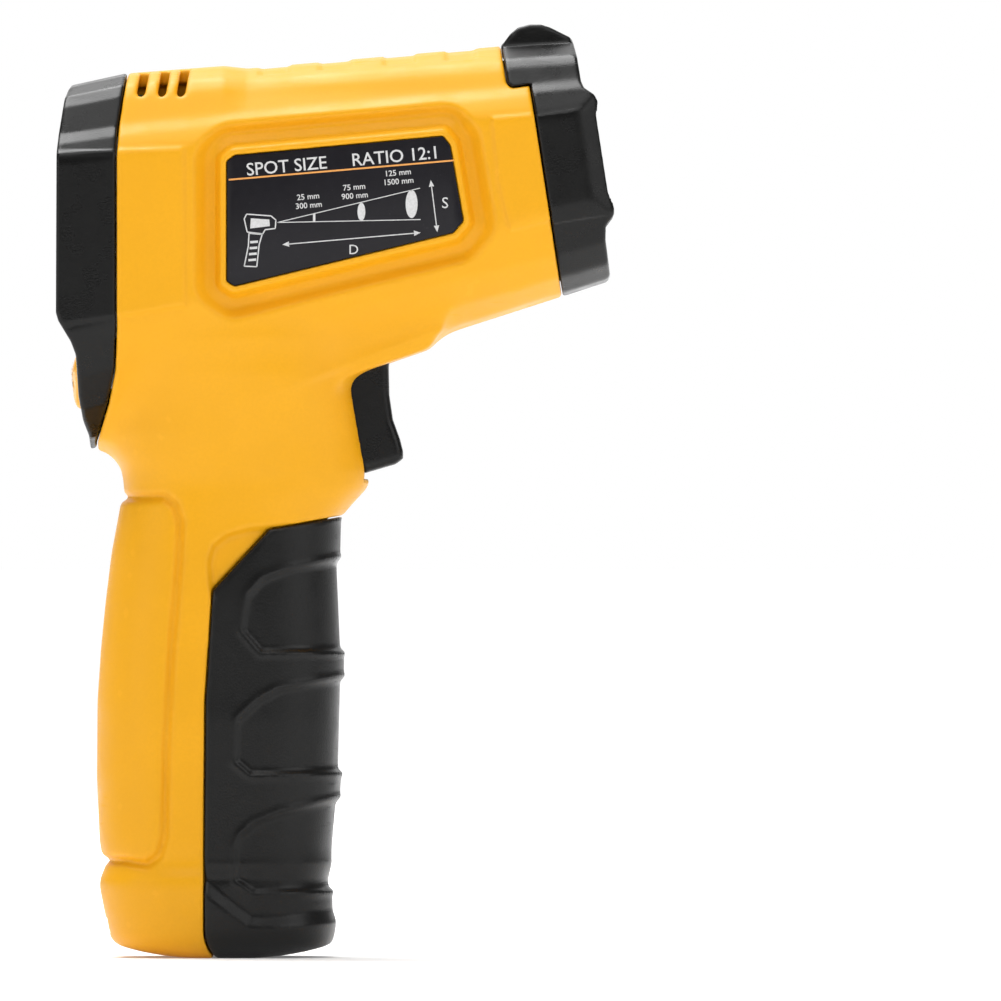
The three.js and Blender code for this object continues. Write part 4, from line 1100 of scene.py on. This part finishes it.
def display():
    """The cell's front glass, the reading on it, and the dark print round the window."""
    def field(x, y, z):
        plate = smooth_max(span_field(x, LCD_X, -19.15), np.abs(y) - 14.3, 0.2)
        return smooth_max(plate, span_field(z, 106.7, 136.1), 0.2)

    glass = moulding("lcd_front_glass", field, (LCD_X - 1, -15.3, 105.7), (-18, 15.3, 137), LCD, 0.3)
    riding(glass, "case", "lcd")
    parts = []
    for reading, b, size, point in (
        ((("3", -6.7), ("4", -1.2), ("3", 4.6)), 115.6, (3.7, 10.8, 1.2), (3.45, 115.5, 0.45, 0.5)),
        ((("3", 3.9), ("4", 6.8), ("0", 10.1)), 108.7, (2.1, 4.8, 0.62), (9.45, 108.6, 0.26, 0.28)),
    ):
        for char, a in reading:
            parts += digit(char, a, b, *size)
        parts.append(flat(ellipse(*point, 12)))
    parts.append(words("°C", 3.3, 11.0, 124.8, bold=0.04))
    box = oblong(-12.7, 130.4, -10.0, 133.6)
    parts += stroke([*box, box[0]], 0.3)
    parts.append(words("H", 2.6, -11.35, 132.0, bold=0.06))
    parts.append(words("Low", 2.6, -4.6, 132.1, bold=0.03))
    battery = oblong(6.2, 129.6, 11.0, 131.9)
    parts += stroke([*battery, battery[0]], 0.25)
    parts.append(flat(oblong(11.1, 130.2, 11.7, 131.3)))
    parts += [flat(oblong(a, 130.1, a + 1.0, 131.4)) for a in (6.7, 8.1, 9.5)]
    printed("lcd_segments", parts, lambda a, b, h: (LCD_X - 0.03 - h, -a, b), DARK_INK, "case", "lcd")

    edge = [*WINDOW_HALF, *((-y, z) for y, z in WINDOW_HALF[-2:0:-1])]
    shrunk = [(y * 0.985, WINDOW_Z + (z - WINDOW_Z) * 0.985) for y, z in edge]
    opening, lamp = oblong(-14, 107, 14, 135.8), oblong(-3.5, 138.9, 3.5, 141.7)
    border = [flat(shrunk, rounded(opening, 0.4), lamp)]
    printed("window_border", border, lambda a, b, h: (-21.42 - h, -a, b), BORDER, "case", "clear_window")


# ---------------------------------------------------------------- optics
def in_nose(middle):
    """Places a turned piece about the optical axis, middle millimetres above the nose frame's origin."""
    def place(u, across, up):
        x, z = from_nose(u, middle + up)
        return (x, across, z)
    return place


def optics():
    lens_at, laser_at = in_nose(LENS_W), in_nose(LASER_W)
    ring = rounded([
        (FACE_U + 0.3, 5.9), (FACE_U + 0.3, 7.6), (FACE_U + 1.1, 7.6), (FACE_U + 1.9, 7.0),
        (FACE_U + 1.9, 6.5), (FACE_U + 1.2, 5.95),
    ], 0.18)
    turned("lens_bezel", ring, lens_at, BLACK, "lens_ring", 96)

    grooves = []
    for k in range(1, 19):
        r, groove = 0.25 * k, 0.07 * (k % 2)
        grooves.append((-3.35 - 0.012 * r * r - groove, r))
    lens = [(-3.3, 0), *grooves, (-3.9, 5.0), (-3.9, 6.7), (-4.7, 6.7), (-4.7, 0)]
    turned("fresnel_lens", lens, lens_at, LENS, "infrared_lens", 96, 24)

    tube = rounded([
        (-2.95, 6.95), (-2.95, 8), (-6, 8), (-7, 7.3), (-33, 7.3), (-33, 4.9), (-31.2, 4.9),
        (-31.2, 6.2), (-5, 6.2), (-5, 6.95),
    ], 0.15)
    turned("lens_tube", tube, lens_at, DULL_BLACK, "sensor_tube")

    can = rounded([
        (-34.6, 0), (-34.6, 4.75), (-33.3, 4.75), (-33.3, 4.3), (-30.6, 4.3), (-30.3, 3.9), (-30.3, 0),
    ], 0.2, closed=False)
    turned("sensor_can", can, lens_at, STEEL, "infrared_sensor")

    module = rounded([(-15, 0), (-15, 3), (-3, 3), (-3, 1.6), (-3.6, 1.2), (-3.8, 0)], 0.15, closed=False)
    turned("laser_barrel", module, laser_at, BRASS, "laser_module")
    pane = rounded([(-2.6, 0), (-2.6, 1.95), (-1.2, 1.95), (-1.2, 0)], 0.15, closed=False)
    turned("laser_pane", pane, laser_at, CLEAR, "laser_window")


# ---------------------------------------------------------------- battery compartment
def along_z(x, y):
    """Places a turned piece about a vertical line."""
    def place(u, across, up):
        return (x + across, y + up, u)
    return place


def along_y(x, z):
    def place(u, across, up):
        return (x + across, u, z + up)
    return place


def battery_holder():
    """A tray with side walls and a middle wall, cradles for the cells, and a lug round the door's pin."""
    def field(x, y, z):
        px, pz = DOOR_PIVOT
        tray = both(span_field(x, *TRAY_X), np.abs(y) - 10.9, span_field(z, *TRAY_Z))
        room = both(4.4 - x, span_field(z, 10, 63))
        f = smooth_max(tray, -room, 0.5)
        walls = both(span_field(x, TRAY_X[0], 8.6), np.abs(np.abs(y) - 11.5) - 0.5, span_field(z, *TRAY_Z))
        f = smooth_min(f, walls, 0.3)
        middle = both(span_field(x, 4, 6.4), np.abs(y) - 0.45, span_field(z, 9, 64))
        f = np.minimum(f, middle)
        for at in (20, 37, 54):
            cradle = both(np.abs(z - at) - 0.7, span_field(x, 4, 6.6), np.abs(y) - 11)
            cell_room = round_field(x, np.abs(y), (CELL_X, CELL_Y), CELL_R + 0.25)
            f = np.minimum(f, both(cradle, -cell_room))
        arm = both(span_field(x, px - 1.5, px + 1.5), span_field(z, pz, 9))
        lug = np.minimum(round_field(x, z, DOOR_PIVOT, 1.95), arm)
        f = smooth_min(f, both(lug, np.abs(y) - 8.5), 0.3)
        window = both(np.abs(z - 45) - 5, np.abs(np.abs(y) - CELL_Y) - 1.2, x - 4.6)
        f = smooth_max(f, -window, 0.3)
        return np.maximum(f, -round_field(x, z, DOOR_PIVOT, DOOR_HOLE))

    made = moulding("cell_tray", field, (1.5, -13, 1.5), (14, 13, 66), DULL_BLACK, 0.3)
    return stand_in(made, "battery_holder")


def cell(letter, y, up):
    """A cell: the metal can with its button, and the printed wrap round it."""
    base, turn = (CELL_Z, 1) if up else (CELL_Z + CELL_LENGTH, -1)

    def lengthwise(profile):
        return [(base + turn * u, r) for u, r in profile]

    can = rounded([
        (0, 0), (0, 4.3), (0.35, 4.95), (42.9, 4.95), (43.3, 4.2), (43.3, 2.1), (CELL_LENGTH, 1.9),
        (CELL_LENGTH, 0),
    ], 0.3, closed=False)
    turned(f"cell_{letter}_can", lengthwise(can), along_z(CELL_X, y), STEEL, f"battery_{letter}")
    wrap = rounded([
        (0.25, 4.2), (0.12, 4.9), (0.6, CELL_R), (42.8, CELL_R), (43.25, 4.9), (43.42, 3.4), (43.32, 3.4),
        (42.95, 4.97), (0.6, 4.97), (0.3, 4.3),
    ], 0.08)
    look = wrapped(f"cell_wrap_{letter}", *sorted((base + turn * 33, base + turn * 44)))
    sleeve = mesh_of(f"cell_{letter}_wrap", *lathe(lengthwise(wrap), along_z(CELL_X, y)), look)
    riding(sleeve, "case", "cell_can")


def helix(start, end, radii, turns, dead=0.9, per_turn=28):
    """A coil from start to end whose radius changes evenly, with closed turns at both ends."""
    a, b = Vector(start), Vector(end)
    along = (b - a).normalized()
    side = along.orthogonal().normalized()
    up = along.cross(side)
    points = []
    total = turns + 2 * dead
    for i in range(round(total * per_turn) + 1):
        turn = i / per_turn
        t = min(1.0, max(0.0, (turn - dead) / turns))
        angle = 2 * math.pi * turn
        r = radii[0] + (radii[1] - radii[0]) * t
        points.append(tuple(a.lerp(b, t) + side * (r * math.cos(angle)) + up * (r * math.sin(angle))))
    return points


def springs():
    top = CELL_Z + CELL_LENGTH
    coils = {
        "spring_a": (helix((CELL_X, CELL_Y, 11.15), (CELL_X, CELL_Y, CELL_Z - 0.45), (3.6, 2.2), 3), 0.32),
        "spring_b": (helix((CELL_X, -CELL_Y, 62.0), (CELL_X, -CELL_Y, top + 0.45), (3.6, 2.2), 2), 0.32),
        "trigger_spring": (helix((13.0, 0, 90.5), (21.2, 0, 90.5), (2.2, 2.2), 5), 0.3),
    }
    for name, (points, r) in coils.items():
        stand_in(curve_of(f"{name}_wire", points, r, SPRING), name)


# ---------------------------------------------------------------- wires, pins and screws
ROUTES = {
    "lead_positive": [(2.2, 6, 64), (0.5, 7, 70), (-3, 7, 80), (-8, 6, 90), (-12, 6, 99)],
    "lead_negative": [(2.2, -6, 64), (0.5, -7, 70), (-3, -7, 80), (-8, -6, 90), (-12, -6, 99)],
    "lead_laser": [(40.6, 0, 133.2), (30, 1, 134.5), (14, 3, 134.5), (0, 6, 128), (-12.2, 8, 126)],
    "lead_sensor": [(19.6, 0, 114.5), (14, 0, 114), (4, -5, 112), (-6, -8, 108), (-12.2, -8.5, 106)],
    "lead_trigger": [(11.8, 0, 108.8), (6, 0, 109), (0, 3, 106), (-7, 5, 103), (-12.2, 5, 103)],
}


def leads():
    for name, route in ROUTES.items():
        look = RED_WIRE if name in ("lead_positive", "lead_laser") else BLACK_WIRE
        stand_in(curve_of(f"{name}_wire", smooth_route(route), 0.62, look), name)


def pins():
    for name, (x, z), r, reach in (("trigger", TRIGGER_PIVOT, 1.2, 11.5), ("door", DOOR_PIVOT, 1.1, 12)):
        profile = rounded([(-reach, 0), (-reach, r), (reach, r), (reach, 0)], 0.25, closed=False)
        turned(f"{name}_axle", profile, along_y(x, z), STEEL, f"{name}_pin")


def case_screws():
    """Cross-head screws with a rolled thread."""
    def field(x, y, z):
        r = np.sqrt(x ** 2 + z ** 2)
        head = smooth_max(r - 2.5, span_field(y, SCREW_SEAT + 0.3, SCREW_SEAT + 2.2) + 0.05 * r ** 1.6, 0.3)
        turn, pitch = np.arctan2(z, x) / (2 * math.pi), 0.9
        wave = np.abs(((y / pitch + turn) % 1) - 0.5) * 2
        shaft = both(r - 1.05 - 0.22 * wave, span_field(y, -11, SCREW_SEAT + 1), r - 1.3 + 0.5 * (-9.8 - y))
        cross = both(np.minimum(np.abs(x), np.abs(z)) - 0.3, r - 1.5, SCREW_SEAT + 1.0 + 0.4 * r - y)
        return smooth_max(np.minimum(head, shaft), -cross, 0.1)

    first = moulding("screw_pattern", field, (-3, -12, -3), (3, 11, 3), STEEL, 0.14)
    for i, (x, z) in enumerate(SCREWS):
        mesh = first.data.copy()
        mesh.transform(Matrix.Translation((x / 1000, 0, z / 1000)))
        stand_in(in_scene(f"cross_head_screw_{i + 1}", mesh), f"case_screw_{i + 1}")
    bpy.data.objects.remove(first)


def dress(node, width=0.12):
    """Gives a CAD node that stays its slot's material, joined corners, smooth faces and bevelled edges."""
    shown = frame["nodes"][node]
    shown.data.materials.clear()
    shown.data.materials.append(LOOK_OF[SLOT_OF[node]])
    weld = shown.modifiers.new("join", "WELD")
    weld.merge_threshold = 1e-6
    edge = shown.modifiers.new("edge", "BEVEL")
    edge.width, edge.segments, edge.limit_method = width / 1000, 3, "ANGLE"
    edge.angle_limit = math.radians(35)
    edge.harden_normals = True
    shown.data.polygons.foreach_set("use_smooth", [True] * len(shown.data.polygons))
    shown.data.normals_split_custom_set([(0, 0, 0)] * len(shown.data.loops))


for half in (1, -1):
    housing(half)
    label(half)
display_hood()
display()
nose_hood()
optics()
battery_door()
trigger()
for key_name, key_outline in KEYS.items():
    button(key_name, key_outline)
legends()
battery_holder()
cell("a", CELL_Y, True)
cell("b", -CELL_Y, False)
springs()
leads()
pins()
case_screws()
for node_name, node_object in frame["nodes"].items():
    if not node_object.hide_render:
        dress(node_name)
frame["nodes"]["status_lamp"].data.materials[0] = LAMP


# ---------------------------------------------------------------- stage, lights and camera
def stage():
    """A floor that is brighter further away, and surroundings that look white but light the part little."""
    reach = 25.0
    floor = bpy.data.meshes.new("floor")
    floor.from_pydata([(a, b, 0) for a, b in oblong(-reach, -reach, reach, reach)], [], [(0, 1, 2, 3)])
    made = in_scene("floor", floor)
    look = Look("floor_paint", Emission_Color=(1, 1, 1, 1))
    away = look.node("VectorMath", Vector=look.place)
    away.operation = "LENGTH"
    near_glow, far_glow, near, far = 0.15, 0.9, 0.3, 1.0
    glow = look.spread(away.outputs["Value"], near_glow, far_glow, near, far)
    look.links.new(glow, look.shader.inputs["Emission Strength"])
    base = look.mixed(look.spread(look.noise(900), 0.0, 1.0), (0.89, 0.89, 0.89), (0.92, 0.92, 0.92))
    floor.materials.append(look.finish(base, look.spread(look.noise(400), 0.7, 0.8)))
    world = bpy.data.worlds.new("studio")
    world.use_nodes = True
    nodes, links = world.node_tree.nodes, world.node_tree.links
    air = nodes["Background"]
    air.inputs["Color"].default_value = (1, 1, 1, 1)
    seen = nodes.new("ShaderNodeLightPath")
    strength = nodes.new("ShaderNodeMapRange")
    strength.inputs["To Min"].default_value = WORLD_LIGHT
    strength.inputs["To Max"].default_value = 1.0
    links.new(seen.outputs["Is Camera Ray"], strength.inputs["Value"])
    links.new(strength.outputs["Result"], air.inputs["Strength"])
    bpy.context.scene.world = world
    bpy.context.scene.view_settings.view_transform = "Standard"


def light(name, place, size, power, aim=(0, 0, 0.08)):
    lamp = bpy.data.lights.new(name, "AREA")
    lamp.size = size
    lamp.energy = power
    made = in_scene(name, lamp)
    made.location = place
    made.rotation_euler = (Vector(aim) - Vector(place)).to_track_quat("-Z", "Y").to_euler()
    made.visible_camera = False


def camera():
    """A long lens square to the side, which shows a given width at the part."""
    distance, width, aim_x, aim_z = 4.5, 0.1682, 46.97, 0.0767
    lens = bpy.data.cameras.new("camera")
    lens.sensor_width = 36
    lens.lens = lens.sensor_width * distance / width
    lens.clip_start, lens.clip_end = 0.01, 60
    made = in_scene("camera", lens)
    made.location = ((aim_x + SHIFT) / 1000, -distance, aim_z)
    made.rotation_euler = (math.radians(90), 0, 0)
    bpy.context.scene.camera = made


stage()
light("top_box", (-0.3, 0.4, 1.3), 0.9, 22)
light("front_box", (-0.1, -0.85, 1.45), 1.2, 10.5)
light("left_box", (-1.4, -0.9, 0.5), 0.8, 3)
light("right_box", (1.25, -0.9, 0.8), 1.1, 7)
light("rear_box", (0, 1.7, 1.0), 2.0, 13)
camera()
